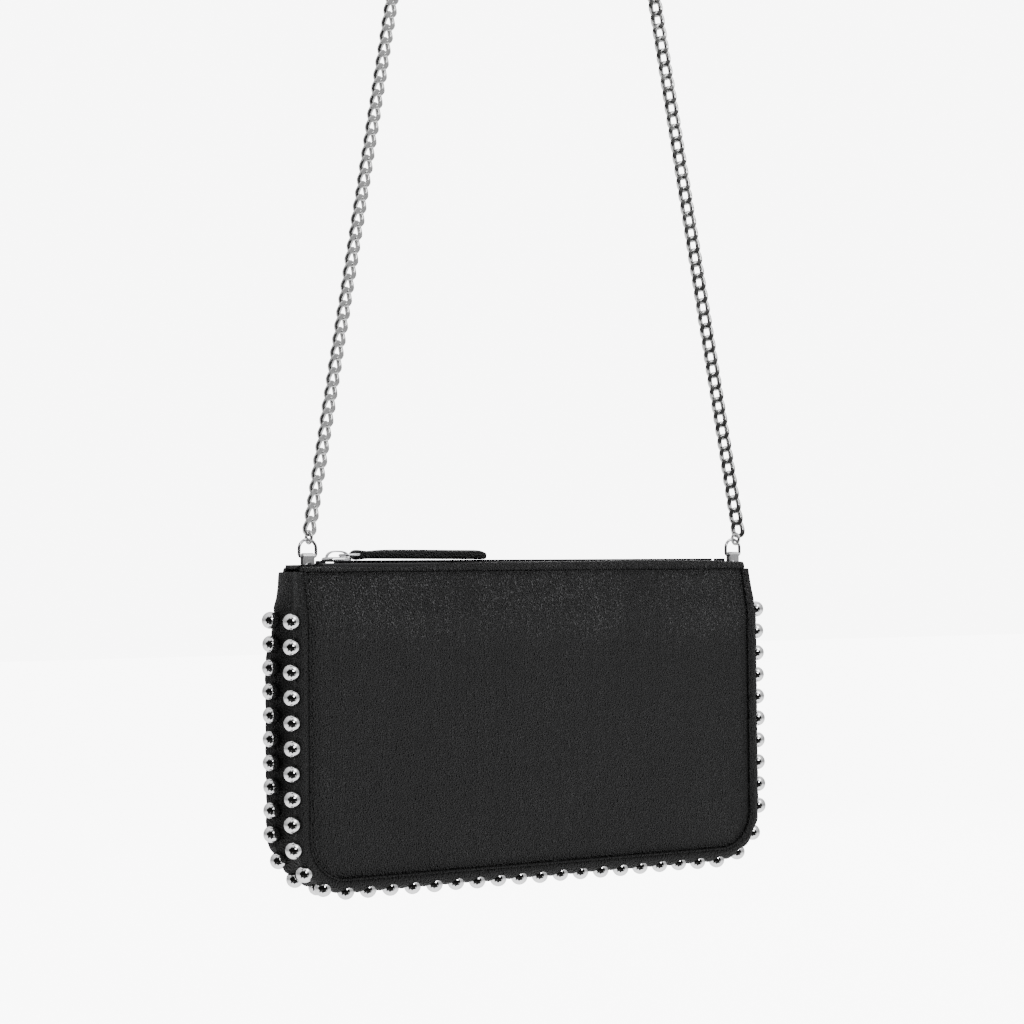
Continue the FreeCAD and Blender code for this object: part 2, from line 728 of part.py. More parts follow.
def make_zip_ends():
    """At each end: a leather cap with a slot, a tongue below it, a folded metal clip and its rivet."""
    for word, sign in (("left", "-1"), ("right", "1")):
        clip_x = f"clip_{word}"
        outer = f"{sign} * (panel_width / 2 + gusset_inset - 0.2)"
        inner = "tape_left - 0.2" if word == "left" else "tape_right + 0.2"
        left, right = (outer, inner) if word == "left" else (inner, outer)
        cap = block(f"end_cap_{word}", left, right, "0.1 - binding_inner", "binding_inner - 0.1",
                    "1.3", "2.5", label=False)
        slot = new_sketch(cap, "XY_Plane")
        slot_reach = "(clip_width / 2 + 0.2)"
        draw_rectangle(slot, f"{clip_x} - {slot_reach}", f"{clip_x} + {slot_reach}", "-2.2", "2.2")
        pocket(cap, slot, "10")
        hang(keep(cap, f"end_cap_{word}"))

        tongue = new_body(f"end_tongue_{word}")
        sketch = new_sketch(tongue, "XZ_Plane")
        near, far = f"{clip_x} - {sign} * 2.2", f"{clip_x} + {sign} * 2.2"
        root = far if word == "left" else f"{outer} - 0.1"
        draw_polygon(sketch, [
            (near, "-6.5"), (near, "hinge_z - 1.9"), (far, "hinge_z - 1.9"),
            (far, "0.3"), (root, "0.1"), (root, "-6.5"),
        ])
        draw_circle(sketch, clip_x, "hinge_z - rivet_drop", "rivet_radius + 0.05")
        pad(tongue, sketch, "2 * (clip_eye - 0.03)")
        hang(keep(tongue, f"end_tongue_{word}"))

        clip = new_body(f"ring_clip_{word}")
        outer_face, inner_face = "(clip_eye + clip_sheet)", "clip_eye"
        profile = new_sketch(clip, "YZ_Plane", clip_x)
        draw_rectangle(profile, f"-{outer_face}", outer_face, "hinge_z - clip_drop", "hinge_z")
        pad(clip, profile, "clip_width")
        fold = new_sketch(clip, "YZ_Plane", clip_x)
        draw_circle(fold, "0", "hinge_z", outer_face)
        pad(clip, fold, "clip_width")
        gap = new_sketch(clip, "YZ_Plane", clip_x)
        draw_rectangle(gap, f"-{inner_face}", inner_face, "hinge_z - clip_drop - 1", "hinge_z")
        pocket(clip, gap, "clip_width + 2")
        eye = new_sketch(clip, "YZ_Plane", clip_x)
        draw_circle(eye, "0", "hinge_z", inner_face)
        pocket(clip, eye, "clip_width + 2")
        hole = new_sketch(clip, "XZ_Plane")
        draw_circle(hole, clip_x, "hinge_z - rivet_drop", "rivet_radius + 0.05")
        pocket(clip, hole, "10")
        hang(keep(clip, f"ring_clip_{word}"))

        rivet = new_body(f"clip_rivet_{word}")
        shank = new_sketch(rivet, "XZ_Plane")
        draw_circle(shank, clip_x, "hinge_z - rivet_drop", "rivet_radius")
        pad(rivet, shank, "2 * (clip_eye + clip_sheet + 0.5)")
        for sign_y in ("-1", "1"):
            flat = new_sketch(rivet, "XZ_Plane", f"{sign_y} * (clip_eye + clip_sheet + 0.26)")
            draw_circle(flat, clip_x, "hinge_z - rivet_drop", "rivet_head")
            pad(rivet, flat, "0.5")
        hang(keep(rivet, f"clip_rivet_{word}"))


# ---------------------------------------------------------------- strap


def make_strap_ends():
    """At each end: a D-shaped ring whose straight bar turns in the clip, and a round end link."""
    span, rise = dim("strap_ring_span"), dim("strap_ring_rise")
    wire = dim("strap_wire")
    bend = 1.0
    turn = bend * (1 - math.sqrt(0.5))
    crown = rise - span
    for word in ("left", "right"):
        x = dim("pouch_x") + dim(f"clip_{word}")
        z = dim("pouch_z") + dim("hinge_z")
        ring = wire_loop(f"strap_ring_{word}", [
            Vector(0, 0, 0),
            ("line", Vector(span - bend, 0, 0)),
            ("arc", Vector(span - turn, 0, turn), Vector(span, 0, bend)),
            ("line", Vector(span, 0, crown)),
            ("arc", Vector(0, 0, rise), Vector(-span, 0, crown)),
            ("line", Vector(-span, 0, bend)),
            ("arc", Vector(turn - span, 0, turn), Vector(bend - span, 0, 0)),
            ("line", Vector(0, 0, 0)),
        ], wire)
        ring.Placement = Placement(Vector(x, 0, z), Rotation())
        keep(ring, f"strap_ring_{word}")
        link = doc.addObject("Part::Torus", f"end_link_{word}")
        link.setExpression("Radius1", "dims.end_link_radius")
        link.setExpression("Radius2", "dims.strap_wire")
        place = Vector(x + dim(f"link_shift_{word}"), 0, z + dim(f"link_rise_{word}"))
        link.Placement = Placement(place, Rotation(Vector(0, 1, 0), 90))
        keep(link, f"end_link_{word}")


def chain_path(points):
    """Straight runs joined by arcs, each as large as its two runs allow. Prints the radii."""
    edges, here = [], points[0]
    for i in range(1, len(points) - 1):
        corner = points[i]
        back, on = points[i - 1] - corner, points[i + 1] - corner
        run = min(back.Length, on.Length)
        back.normalize()
        on.normalize()
        half_turn = (math.pi - back.getAngle(on)) / 2
        radius = ARC_SHARE * run / math.tan(half_turn)
        inward = (back + on).normalize()
        to_centre = radius / math.cos(half_turn)
        start, end = corner + back * (ARC_SHARE * run), corner + on * (ARC_SHARE * run)
        middle = corner + inward * (to_centre - radius)
        print(f"chain bend {i}: radius {radius:.1f} mm")
        edges += [Part.LineSegment(here, start).toShape(), Part.Arc(start, middle, end).toShape()]
        here = end
    edges.append(Part.LineSegment(here, points[-1]).toShape())
    return Part.Wire(edges)


def make_chain():
    """The chain as one round tube, as wide as its links."""
    points = [Vector(*point) for point in CHAIN_ROUTE]
    path = chain_path(points)
    radius = dim("chain_width") / 2
    first = path.Edges[0]
    section = Part.Wire(Part.Circle(points[0], first.tangentAt(first.FirstParameter), radius).toShape())
    solid = path.makePipeShell([section], True, True)
    expected = math.pi * radius**2 * path.Length
    print(f"chain length {path.Length:.1f} mm, volume {solid.Volume:.0f} of {expected:.0f} mm3")
    feature = doc.addObject("Part::Feature", "strap_chain")
    feature.Shape = solid
    keep(feature, "strap_chain")


# ---------------------------------------------------------------- build


def check_document():
    """Stops the build if an object failed or a piece is no valid solid."""
    for item in doc.Objects:
        if {"Invalid", "Error"} & set(item.State):
            raise RuntimeError(f"{item.Name} failed: {item.State}")
    for piece in subparts:
        shape = piece.Shape
        if shape.isNull() or not shape.isValid() or not shape.Solids:
            raise RuntimeError(f"{piece.Label} is not a valid solid")


def write_parts():
    os.makedirs(PARTS_FOLDER, exist_ok=True)
    for piece in subparts:
        piece.Shape.exportStep(os.path.join(PARTS_FOLDER, piece.Label + ".step"))
        print(f"{piece.Label}: {len(piece.Shape.Solids)} solids, {piece.Shape.Volume:.1f} mm3")


make_shell_layers()
make_pockets()
make_gusset()
make_gusset_lining()
make_welts()
make_studs()
make_bindings()
make_tapes()
make_teeth()
make_stops()
make_slider()
make_bridge()
make_pull()
make_zip_ends()
make_strap_ends()
make_chain()
doc.recompute()
check_document()
write_parts()
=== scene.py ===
import math
import random

import bpy
from mathutils import Matrix, Vector, noise


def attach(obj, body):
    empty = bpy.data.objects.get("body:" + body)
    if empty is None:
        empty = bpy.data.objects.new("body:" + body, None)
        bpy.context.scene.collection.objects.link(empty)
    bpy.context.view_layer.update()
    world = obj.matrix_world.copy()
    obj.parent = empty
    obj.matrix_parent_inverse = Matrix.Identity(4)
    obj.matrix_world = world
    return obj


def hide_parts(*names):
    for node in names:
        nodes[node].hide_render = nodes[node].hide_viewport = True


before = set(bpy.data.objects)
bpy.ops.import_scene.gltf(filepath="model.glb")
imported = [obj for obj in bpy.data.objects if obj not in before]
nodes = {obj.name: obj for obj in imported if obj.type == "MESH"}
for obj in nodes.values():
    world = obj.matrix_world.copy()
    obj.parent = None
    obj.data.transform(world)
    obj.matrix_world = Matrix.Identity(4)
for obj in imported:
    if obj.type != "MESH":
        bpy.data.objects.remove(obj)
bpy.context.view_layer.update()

# A slim leather pouch edged with ball studs, hanging by its zip's two ends from a curb chain.
# Lengths are in millimetres in the pouch's own axes until at() or MM turns them into metres. Those
# axes start in the middle of the top line, with x to the right, y to the back and z up.

MM = 0.001
POUCH = Vector((-5.0, 0.0, -327.8))
random.seed(7)

# The two faces of the pouch: the side that each is on, along y, and its word in names.
FACES = ((-1, "front"), (1, "back"))

# The panels' outline, and the pouch's depth, which tapers over its top part.
HALF_WIDTH = 100.2
HEIGHT = 113.4
CORNER = 15.0
HALF_DEPTH = 11.5
TOP_HALF_DEPTH = 7.8
TAPER = 17.0

# The rows of ball studs, one beside each panel. An outset is from the seam to the balls' centres. A
# run down a side is given by its first ball, below the top line, and the step from ball to ball,
# and the bottom run by its end balls, from the middle.
STUD_RADIUS = 3.25
STUD_OUTSET = 5.9
STUD_OUTSET_LOW = 4.5
STUD_SEAT = 3.2
STUD_ROW = 8.7
STUD_SIDE_COUNT = 10
STUD_CORNER_COUNT = 2
STUD_LOW_COUNT = 19
STUD_LEFT = {"front": (18.4, 9.24), "back": (18.0, 8.79)}
STUD_LOW_HALF = {"front": 84.7, "back": 87.8}
STUD_RIGHT = (16.8, 8.94)

# The strap's hinge line, and the clips at the two ends of the zip.
HINGE_Z = 5.5
CLIPS = {"left": -95.0, "right": 101.2}


def at(x, y, z):
    """A point of the pouch's axes, in metres in the frame."""
    return (Vector((x, y, z)) + POUCH) * MM


def smoothstep(low, high, value):
    """From 0 at low to 1 at high, level at both ends."""
    share = min(max((value - low) / (high - low), 0.0), 1.0)
    return share * share * (3 - 2 * share)


# ---------------------------------------------------------------- materials


class ShaderTree:
    """A shader node tree that is being put together."""

    def __init__(self, tree):
        self.tree = tree

    def add(self, kind, **values):
        node = self.tree.nodes.new(kind)
        for key, value in values.items():
            setattr(node, key, value)
        return node

    def feed(self, socket, value):
        """Give a socket a number, a colour or another node's output."""
        if isinstance(value, (int, float)):
            socket.default_value = value
        elif isinstance(value, tuple):
            socket.default_value = (*value, 1)
        else:
            self.tree.links.new(value, socket)

    def ramp(self, source, stops):
        node = self.add("ShaderNodeValToRGB")
        elements = node.color_ramp.elements
        while len(elements) < len(stops):
            elements.new(0.5)
        for element, (place, shade) in zip(elements, stops):
            element.position = place
            color = shade if isinstance(shade, tuple) else (shade, shade, shade)
            element.color = (*color, 1)
        self.feed(node.inputs["Fac"], source)
        return node.outputs["Color"]

    def math(self, operation, *values):
        node = self.add("ShaderNodeMath", operation=operation)
        for socket, value in zip(node.inputs, values):
            self.feed(socket, value)
        return node.outputs["Value"]

    def height(self, place):
        node = self.add("ShaderNodeSeparateXYZ")
        self.feed(node.inputs["Vector"], place)
        return node.outputs["Z"]

    def mix(self, share, first, second, blend="MIX"):
        """Two colours mixed. A mix node's sockets 0, 6 and 7 are those that colours use."""
        node = self.add("ShaderNodeMix", data_type="RGBA", blend_type=blend)
        for index, value in ((0, share), (6, first), (7, second)):
            self.feed(node.inputs[index], value)
        return node.outputs[2]


class Finish(ShaderTree):
    """A material that is being put together. Its textures are placed by object coordinates."""

    def __init__(self, name):
        self.material = bpy.data.materials.new(name)
        self.material.use_nodes = True
        super().__init__(self.material.node_tree)
        self.shader = self.tree.nodes["Principled BSDF"]
        self.place = self.add("ShaderNodeTexCoord").outputs["Object"]

    def set(self, **values):
        for key, value in values.items():
            self.shader.inputs[key.replace("_", " ")].default_value = value

    def stretched(self, scale):
        mapping = self.add("ShaderNodeMapping")
        mapping.inputs["Scale"].default_value = scale
        self.feed(mapping.inputs["Vector"], self.place)
        return mapping.outputs["Vector"]

    def noise(self, scale, detail, place=None):
        node = self.add("ShaderNodeTexNoise")
        node.inputs["Scale"].default_value = scale
        node.inputs["Detail"].default_value = detail
        node.inputs["Roughness"].default_value = 0.55
        self.feed(node.inputs["Vector"], place or self.place)
        return node.outputs["Fac"]

    def cells(self, scale):
        node = self.add("ShaderNodeTexVoronoi", feature="F1")
        node.inputs["Scale"].default_value = scale
        self.feed(node.inputs["Vector"], self.place)
        return node.outputs["Distance"]

    def waves(self, direction, scale):
        node = self.add("ShaderNodeTexWave", bands_direction=direction)
        node.inputs["Scale"].default_value = scale
        node.inputs["Distortion"].default_value = 0.4
        self.feed(node.inputs["Vector"], self.place)
        return node.outputs["Fac"]

    def bump(self, height, distance, strength=1.0, under=None):
        node = self.add("ShaderNodeBump")
        node.inputs["Distance"].default_value = distance * MM
        node.inputs["Strength"].default_value = strength
        self.feed(node.inputs["Height"], height)
        if under:
            self.feed(node.inputs["Normal"], under)
        return node.outputs["Normal"]

    def done(self, color=None, rough=None, normal=None):
        for source, name in ((color, "Base Color"), (rough, "Roughness"), (normal, "Normal")):
            if source is not None:
                self.feed(self.shader.inputs[name], source)
        return self.material


# The height below the top line over which the leather's painted glints strengthen.
GLINT_HEIGHT = 30.0


def leather(name, shade=1.0, glint=1.0, grain=1.0):
    """Charcoal leather with fine pebbles, and painted glints: bright grey specks mixed into its colour,
    in patches, strongest at the top.
    """
    finish = Finish(name)
    pebbles = finish.cells(1500)
    fine = finish.noise(3400, 2)
    streaks = finish.noise(1, 3, finish.stretched((190, 190, 9)))

    # Painted glints: a mask of bright specks in patches and streaks, which grows stronger towards the top
    # line.
    patches = finish.ramp(finish.noise(38, 4), [(0.36, 0.25), (0.66, 1.0)])
    glint_spread = finish.math("MULTIPLY", patches, finish.ramp(streaks, [(0.3, 0.55), (0.7, 1.0)]))
    glint_specks = finish.ramp(finish.noise(1500, 1), [(0.5, 0.0), (0.72, 1.0)])
    above = finish.math("SUBTRACT", finish.height(finish.place), (POUCH.z - GLINT_HEIGHT) * MM)
    rise = finish.math("MULTIPLY", above, 1 / (GLINT_HEIGHT * MM))
    glint_near_top = finish.ramp(rise, [(0.0, 0.45), (1.0, 4.6)])
    # share is the painted glint mask: how much of the glint grey each point takes.
    share = finish.math("MULTIPLY", finish.math("MULTIPLY", glint_spread, glint_specks), glint_near_top)

    base = finish.ramp(finish.noise(240, 3), [(0.3, 0.005 * shade), (0.75, 0.0108 * shade)])
    # The grey of the painted glints, which is mixed into the base colour.
    painted_glint = 0.19 * shade * glint
    color = finish.mix(share, base, (painted_glint, painted_glint, painted_glint * 1.02))
    rough = finish.ramp(share, [(0.0, 0.6), (1.0, 0.34)])
    grains = finish.math("MULTIPLY", pebbles, 900.0)
    height = finish.math("ADD", grains, finish.math("MULTIPLY", fine, 0.5))
    normal = finish.bump(streaks, 0.35, 0.25, under=finish.bump(height, 0.09 * grain))
    finish.set(Specular_IOR_Level=0.5)
    return finish.done(color, rough, normal)


def metal(name, shade, rough):
    """Polished metal with faint scuffs and a slight haze."""
    finish = Finish(name)
    worn = tuple(c * 0.95 for c in shade)
    scuffs = finish.noise(1, 2, finish.stretched((2600, 500, 900)))
    color = finish.ramp(finish.noise(420, 3), [(0.25, worn), (0.75, shade)])
    roughness = finish.ramp(scuffs, [(0.35, rough), (0.75, rough + 0.08)])
    finish.set(Metallic=1.0)
    return finish.done(color, roughness, finish.bump(finish.noise(900, 2), 0.012))


def woven(name, shade, scale):
    """Cloth with crossing threads."""
    finish = Finish(name)
    weave = finish.math("MULTIPLY", finish.waves("X", scale), finish.waves("Z", scale))
    dark = tuple(c * 0.5 for c in shade)
    color = finish.ramp(finish.mix(0.5, weave, finish.noise(500, 3)), [(0.1, dark), (0.8, shade)])
    finish.set(Roughness=0.85, Sheen_Weight=0.25)
    return finish.done(color, normal=finish.bump(weave, 0.12))


def board(name):
    """Pressed fibre board."""
    finish = Finish(name)
    fibres = finish.noise(1, 5, finish.stretched((260, 900, 900)))
    color = finish.ramp(fibres, [(0.3, (0.16, 0.12, 0.08)), (0.7, (0.3, 0.24, 0.17))])
    finish.set(Roughness=0.9)
    return finish.done(color, normal=finish.bump(fibres, 0.1))


def thread(name, shade):
    """Twisted sewing thread."""
    finish = Finish(name)
    twist = finish.noise(1, 1, finish.stretched((5200, 2500, 1200)))
    color = finish.ramp(twist, [(0.3, shade * 0.5), (0.7, shade)])
    finish.set(Roughness=0.7)
    return finish.done(color, normal=finish.bump(twist, 0.05))


LEATHER = leather("leather_panel")
# The gusset's leather is the panels' leather made darker, as painted shade for its deep valley between
# the rows of studs, and it has fewer painted glints.
LEATHER_GUSSET_SHADED = leather("leather_gusset_shaded", shade=0.85, glint=0.75)
LEATHER_TOP = leather("leather_top", shade=0.9, glint=0.6, grain=0.5)
LEATHER_TAB = leather("leather_tab", shade=0.7, glint=0.35, grain=0.8)
BALL = metal("ball_chrome", (0.88, 0.88, 0.88), 0.05)
CHAIN = metal("chain_silver", (0.62, 0.62, 0.615), 0.22)
FITTING = metal("fitting_nickel", (0.74, 0.74, 0.75), 0.14)
CLIP = metal("clip_satin", (0.72, 0.72, 0.72), 0.3)
GUNMETAL = metal("zip_gunmetal", (0.05, 0.05, 0.055), 0.32)
TAPE = woven("zip_tape_cloth", (0.016, 0.016, 0.017), 269.8413)
LINING = woven("lining_cloth", (0.03, 0.03, 0.033), 142.8571)
BOARD = board("stiffener_board")
THREAD = thread("thread_black", 0.012)

# The finishes of the CAD nodes that no piece stands for.
for name, finish in {
    "front_board": BOARD, "back_board": BOARD,
    "front_lining": LINING, "back_lining": LINING, "gusset_lining": LINING,
    "slip_pocket": LINING, "card_pocket": LINING, "card_slot_upper": LINING, "card_slot_lower": LINING,
    "stud_posts_front": CLIP, "stud_posts_back": CLIP,
    "end_cap_left": LEATHER_TOP, "end_cap_right": LEATHER_TOP,
    "end_tongue_left": LEATHER_TOP, "end_tongue_right": LEATHER_TOP,
    "clip_rivet_left": FITTING, "clip_rivet_right": FITTING,
    "zip_top_stop_front": GUNMETAL, "zip_top_stop_back": GUNMETAL, "zip_bottom_stop": GUNMETAL,
    "slider_lower_plate": FITTING,
}.items():
    mesh = nodes[name].data
    mesh.materials.clear()
    mesh.materials.append(finish)


# ---------------------------------------------------------------- mesh helpers


def piece(name, points, faces, finish, body, replaced=(), levels=0, smooth=True):
    """A mesh from points in millimetres of the pouch's axes, riding on a body. Levels is how often
    it is subdivided."""
    mesh = bpy.data.meshes.new(name)
    mesh.from_pydata([at(*p) for p in points], [], faces)
    mesh.validate()
    mesh.update()
    mesh.materials.append(finish)
    mesh.polygons.foreach_set("use_smooth", [smooth] * len(mesh.polygons))
    thing = bpy.data.objects.new(name, mesh)
    bpy.context.scene.collection.objects.link(thing)
    if levels:
        subdivision = thing.modifiers.new("smooth", "SUBSURF")
        subdivision.levels = subdivision.render_levels = levels
    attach(thing, body)
    if replaced:
        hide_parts(*replaced)
    return thing


def thicken(thing, thickness):
    """Give a subdivided sheet its thickness inwards, before the subdivision."""
    solid = thing.modifiers.new("thickness", "SOLIDIFY")
    solid.thickness = thickness * MM
    solid.offset = -1
    thing.modifiers.move(1, 0)


def circle(count):
    """Cosine and sine at even steps round a circle."""
    turns = [2 * math.pi * k / count for k in range(count)]
    return [(math.cos(turn), math.sin(turn)) for turn in turns]


def squared_circle(count, power):
    """A circle that is pushed out towards a square, the more so the higher its power."""
    points = []
    for cos, sin in circle(count):
        reach = (abs(cos) ** power + abs(sin) ** power) ** (-1 / power)
        points.append((cos * reach, sin * reach))
    return points


def grid_faces(rows, columns, wrap_rows=False, wrap_columns=False):
    """Quads over a grid of points that is stored row by row."""
    faces = []
    for i in range(rows if wrap_rows else rows - 1):
        for j in range(columns if wrap_columns else columns - 1):
            here, there = i * columns, ((i + 1) % rows) * columns
            k = (j + 1) % columns
            faces.append((here + j, here + k, there + k, there + j))
    return faces


def flipped(faces):
    return [face[::-1] for face in faces]


def caps(rows, columns):
    """Faces that close the two ends of a grid whose columns wrap."""
    low = tuple(reversed(range(columns)))
    high = tuple((rows - 1) * columns + j for j in range(columns))
    return [low, high]


def lofted(sections):
    """Rings of equally many points, joined in order and closed at both ends: (points, faces)."""
    rows, columns = len(sections), len(sections[0])
    points = [p for section in sections for p in section]
    return points, grid_faces(rows, columns, wrap_columns=True) + caps(rows, columns)


def tube(line, radius, sides=12, closed=True):
    """A wire along a line of points: (points, faces)."""
    line = [Vector(p) for p in line]
    count = len(line)
    ring = circle(sides)
    points = []
    side = None
    for i, here in enumerate(line):
        before = line[(i - 1) % count] if closed or i else here
        after = line[(i + 1) % count] if closed or i < count - 1 else here
        along = (after - before).normalized()
        if side is None:
            side = along.orthogonal().normalized()
        side = (side - along * side.dot(along)).normalized()
        other = along.cross(side)
        points += [here + (side * cos + other * sin) * radius for cos, sin in ring]
    faces = grid_faces(count, sides, wrap_rows=closed, wrap_columns=True)
    if not closed:
        faces += caps(count, sides)
    return points, faces


def joined(shapes):
    """Several (points, faces) as one."""
    points, faces = [], []
    for more_points, more_faces in shapes:
        first = len(points)
        points += more_points
        faces += [tuple(first + i for i in face) for face in more_faces]
    return points, faces


def rounded_outline(corners, radius, steps=5):
    """A closed 2-D outline with rounded corners, as a list of points."""
    points = []
    count = len(corners)
    for i, corner in enumerate(corners):
        corner = Vector(corner)
        back = (Vector(corners[i - 1]) - corner).normalized()
        on = (Vector(corners[(i + 1) % count]) - corner).normalized()
        half = back.angle(on) / 2
        reach = radius / math.tan(half)
        centre = corner + (back + on).normalized() * (radius / math.sin(half))
        start, end = corner + back * reach - centre, corner + on * reach - centre
        turn = start.angle_signed(end)
        for k in range(steps + 1):
            angle = -turn * k / steps
            cos, sin = math.cos(angle), math.sin(angle)
            points.append(centre + Vector((start.x * cos - start.y * sin, start.x * sin + start.y * cos)))
    return points


def half_depth(z):
    """Half the pouch's depth at a height. It tapers to the top, with the taper's two ends softened."""
    eased = smoothstep(-TAPER - 4, 3, z)
    straight = min(max((z + TAPER) / TAPER, 0), 1)
    return HALF_DEPTH + (TOP_HALF_DEPTH - HALF_DEPTH) * (0.35 * eased + 0.65 * straight)


def seam(s):
    """The panel seam beside a point s along the studs' line, which starts at the top line on the
    left: (x, z, outward x, outward z)."""
    straight = HEIGHT - CORNER
    bend = (CORNER + STUD_OUTSET) * math.pi / 2
    bottom = 2 * (HALF_WIDTH - CORNER)
    if s < straight:
        return -HALF_WIDTH, -s, -1.0, 0.0
    s -= straight
    if s < bend:
        angle = s / bend * math.pi / 2
        nx, nz = -math.cos(angle), -math.sin(angle)
        return CORNER - HALF_WIDTH + nx * CORNER, CORNER - HEIGHT + nz * CORNER, nx, nz
    s -= bend
    if s < bottom:
        return CORNER - HALF_WIDTH + s, -HEIGHT, 0.0, -1.0
    s -= bottom
    if s < bend:
        angle = s / bend * math.pi / 2
        nx, nz = math.sin(angle), -math.cos(angle)
        return HALF_WIDTH - CORNER + nx * CORNER, CORNER - HEIGHT + nz * CORNER, nx, nz
    s -= bend
    return HALF_WIDTH, CORNER - HEIGHT + s, 1.0, 0.0


STUD_LINE = 2 * (HEIGHT - CORNER) + math.pi * (CORNER + STUD_OUTSET) + 2 * (HALF_WIDTH - CORNER)


def stud_row(word):
    """How far along the studs' line each ball of a row is."""
    first, pitch = STUD_LEFT[word]
    left = [first + i * pitch for i in range(STUD_SIDE_COUNT)]
    half = STUD_LOW_HALF[word]
    bottom = [STUD_LINE / 2 - half + 2 * half * i / (STUD_LOW_COUNT - 1) for i in range(STUD_LOW_COUNT)]
    right = [STUD_LINE - STUD_RIGHT[0] - i * STUD_RIGHT[1] for i in range(STUD_SIDE_COUNT)][::-1]

    def between(start, end):
        count = STUD_CORNER_COUNT
        return [start + (end - start) * (i + 1) / (count + 1) for i in range(count)]

    return left + between(left[-1], bottom[0]) + bottom + between(bottom[-1], right[0]) + right


STUD_ROWS = {word: stud_row(word) for word in ("front", "back")}


def puff_at(word, s):
    """How full the gusset is at a point along a row: 0 at a ball, 1 midway between two."""
    row = STUD_ROWS[word]
    if s <= row[0] or s >= row[-1]:
        gap = min(abs(s - row[0]), abs(s - row[-1]))
        return 0.6 * smoothstep(0.5, 4.0, gap) * (1 - smoothstep(5.0, 10.0, gap))
    for start, end in zip(row, row[1:]):
        if start <= s <= end:
            share = (s - start) / (end - start)
            return (0.5 - 0.5 * math.cos(2 * math.pi * share)) ** 0.85
    return 0.0


# ---------------------------------------------------------------- camera, light and floor

CAMERA_PLACE = (-501.24, -802.70, -2.30)
CAMERA_FORWARD = Vector((0.52510, 0.85063, 0.02639))
CAMERA_UP = Vector((-0.00601, -0.02730, 0.99961))
CAMERA_LENS = 85
CAMERA_SENSOR = 36

# The strength of the white that the camera sees, and of the room that lights the object.
WHITE_GLOW = 8.0
ROOM_STRENGTH = 2.2
TOWARD_CAMERA = (-0.53, -0.85, -0.03)
LIGHTS_AIM = (0, 0, -60)

FLOOR_Z = -240
FLOOR_REACH = 6.0


def make_camera():
    """The camera that was fitted to the photograph."""
    camera = bpy.data.objects.new("camera", bpy.data.cameras.new("camera"))
    bpy.context.scene.collection.objects.link(camera)
    camera.data.lens = CAMERA_LENS
    camera.data.sensor_width = CAMERA_SENSOR
    camera.data.clip_start = 0.01
    forward = CAMERA_FORWARD.normalized()
    right = forward.cross(CAMERA_UP).normalized()
    up = right.cross(forward)
    turn = Matrix((right, up, -forward)).transposed()
    camera.matrix_world = Matrix.Translation(at(*CAMERA_PLACE)) @ turn.to_4x4()
    bpy.context.scene.camera = camera


def area_light(name, offset, size, power):
    """A soft light aimed at LIGHTS_AIM, from an offset in metres."""
    lamp = bpy.data.lights.new(name, "AREA")
    lamp.shape = "RECTANGLE"
    lamp.size, lamp.size_y = size
    lamp.energy = power
    thing = bpy.data.objects.new(name, lamp)
    bpy.context.scene.collection.objects.link(thing)
    thing.location = at(*LIGHTS_AIM) + Vector(offset)
    thing.rotation_euler = (-Vector(offset)).to_track_quat("-Z", "Y").to_euler()


def floor_white():
    """Matt white that glows, so that the floor is white in the picture."""
    finish = Finish("floor_white")
    white = 0.93
    finish.set(Roughness=0.9, Emission_Strength=WHITE_GLOW, Emission_Color=(1, 1, 1, 1))
    return finish.done(finish.ramp(finish.noise(3, 2), [(0.2, white * 0.995), (0.8, white)]))


def make_world():
    """A white room that lights the object, with bands of grey by height and a dark part where the
    photographer stands. To the camera itself it is a plain white backdrop."""
    world = bpy.data.worlds.new("studio")
    bpy.context.scene.world = world
    world.use_nodes = True
    world.node_tree.nodes.clear()
    sky = ShaderTree(world.node_tree)
    way = sky.add("ShaderNodeTexCoord").outputs["Generated"]

    toward = sky.add("ShaderNodeVectorMath", operation="DOT_PRODUCT")
    sky.feed(toward.inputs[0], way)
    toward.inputs[1].default_value = TOWARD_CAMERA
    cloud = sky.add("ShaderNodeTexNoise")
    cloud.inputs["Scale"].default_value = 2.6
    sky.feed(cloud.inputs["Vector"], way)
    ragged = sky.math("MULTIPLY_ADD", cloud.outputs["Fac"], 1.5, toward.outputs["Value"])
    walls = sky.ramp(sky.math("MULTIPLY", ragged, 0.72), [(0.90, (0.95, 0.95, 0.96)), (0.99, 0.012)])

    raised = sky.math("MULTIPLY_ADD", sky.height(way), 0.5, 0.5)
    bands = sky.ramp(raised, [(0.0, 1.0), (0.32, 0.8), (0.5, 0.2), (0.72, 0.36), (1.0, 0.7)])

    room = sky.add("ShaderNodeBackground")
    room.inputs["Strength"].default_value = ROOM_STRENGTH
    sky.feed(room.inputs["Color"], sky.mix(1.0, walls, bands, "MULTIPLY"))
    backdrop = sky.add("ShaderNodeBackground")
    backdrop.inputs["Color"].default_value = (1, 1, 1, 1)
    backdrop.inputs["Strength"].default_value = WHITE_GLOW
    both = sky.add("ShaderNodeMixShader")
    sky.feed(both.inputs[0], sky.add("ShaderNodeLightPath").outputs["Is Camera Ray"])
    sky.feed(both.inputs[1], room.outputs[0])
    sky.feed(both.inputs[2], backdrop.outputs[0])
    sky.feed(sky.add("ShaderNodeOutputWorld").inputs["Surface"], both.outputs[0])


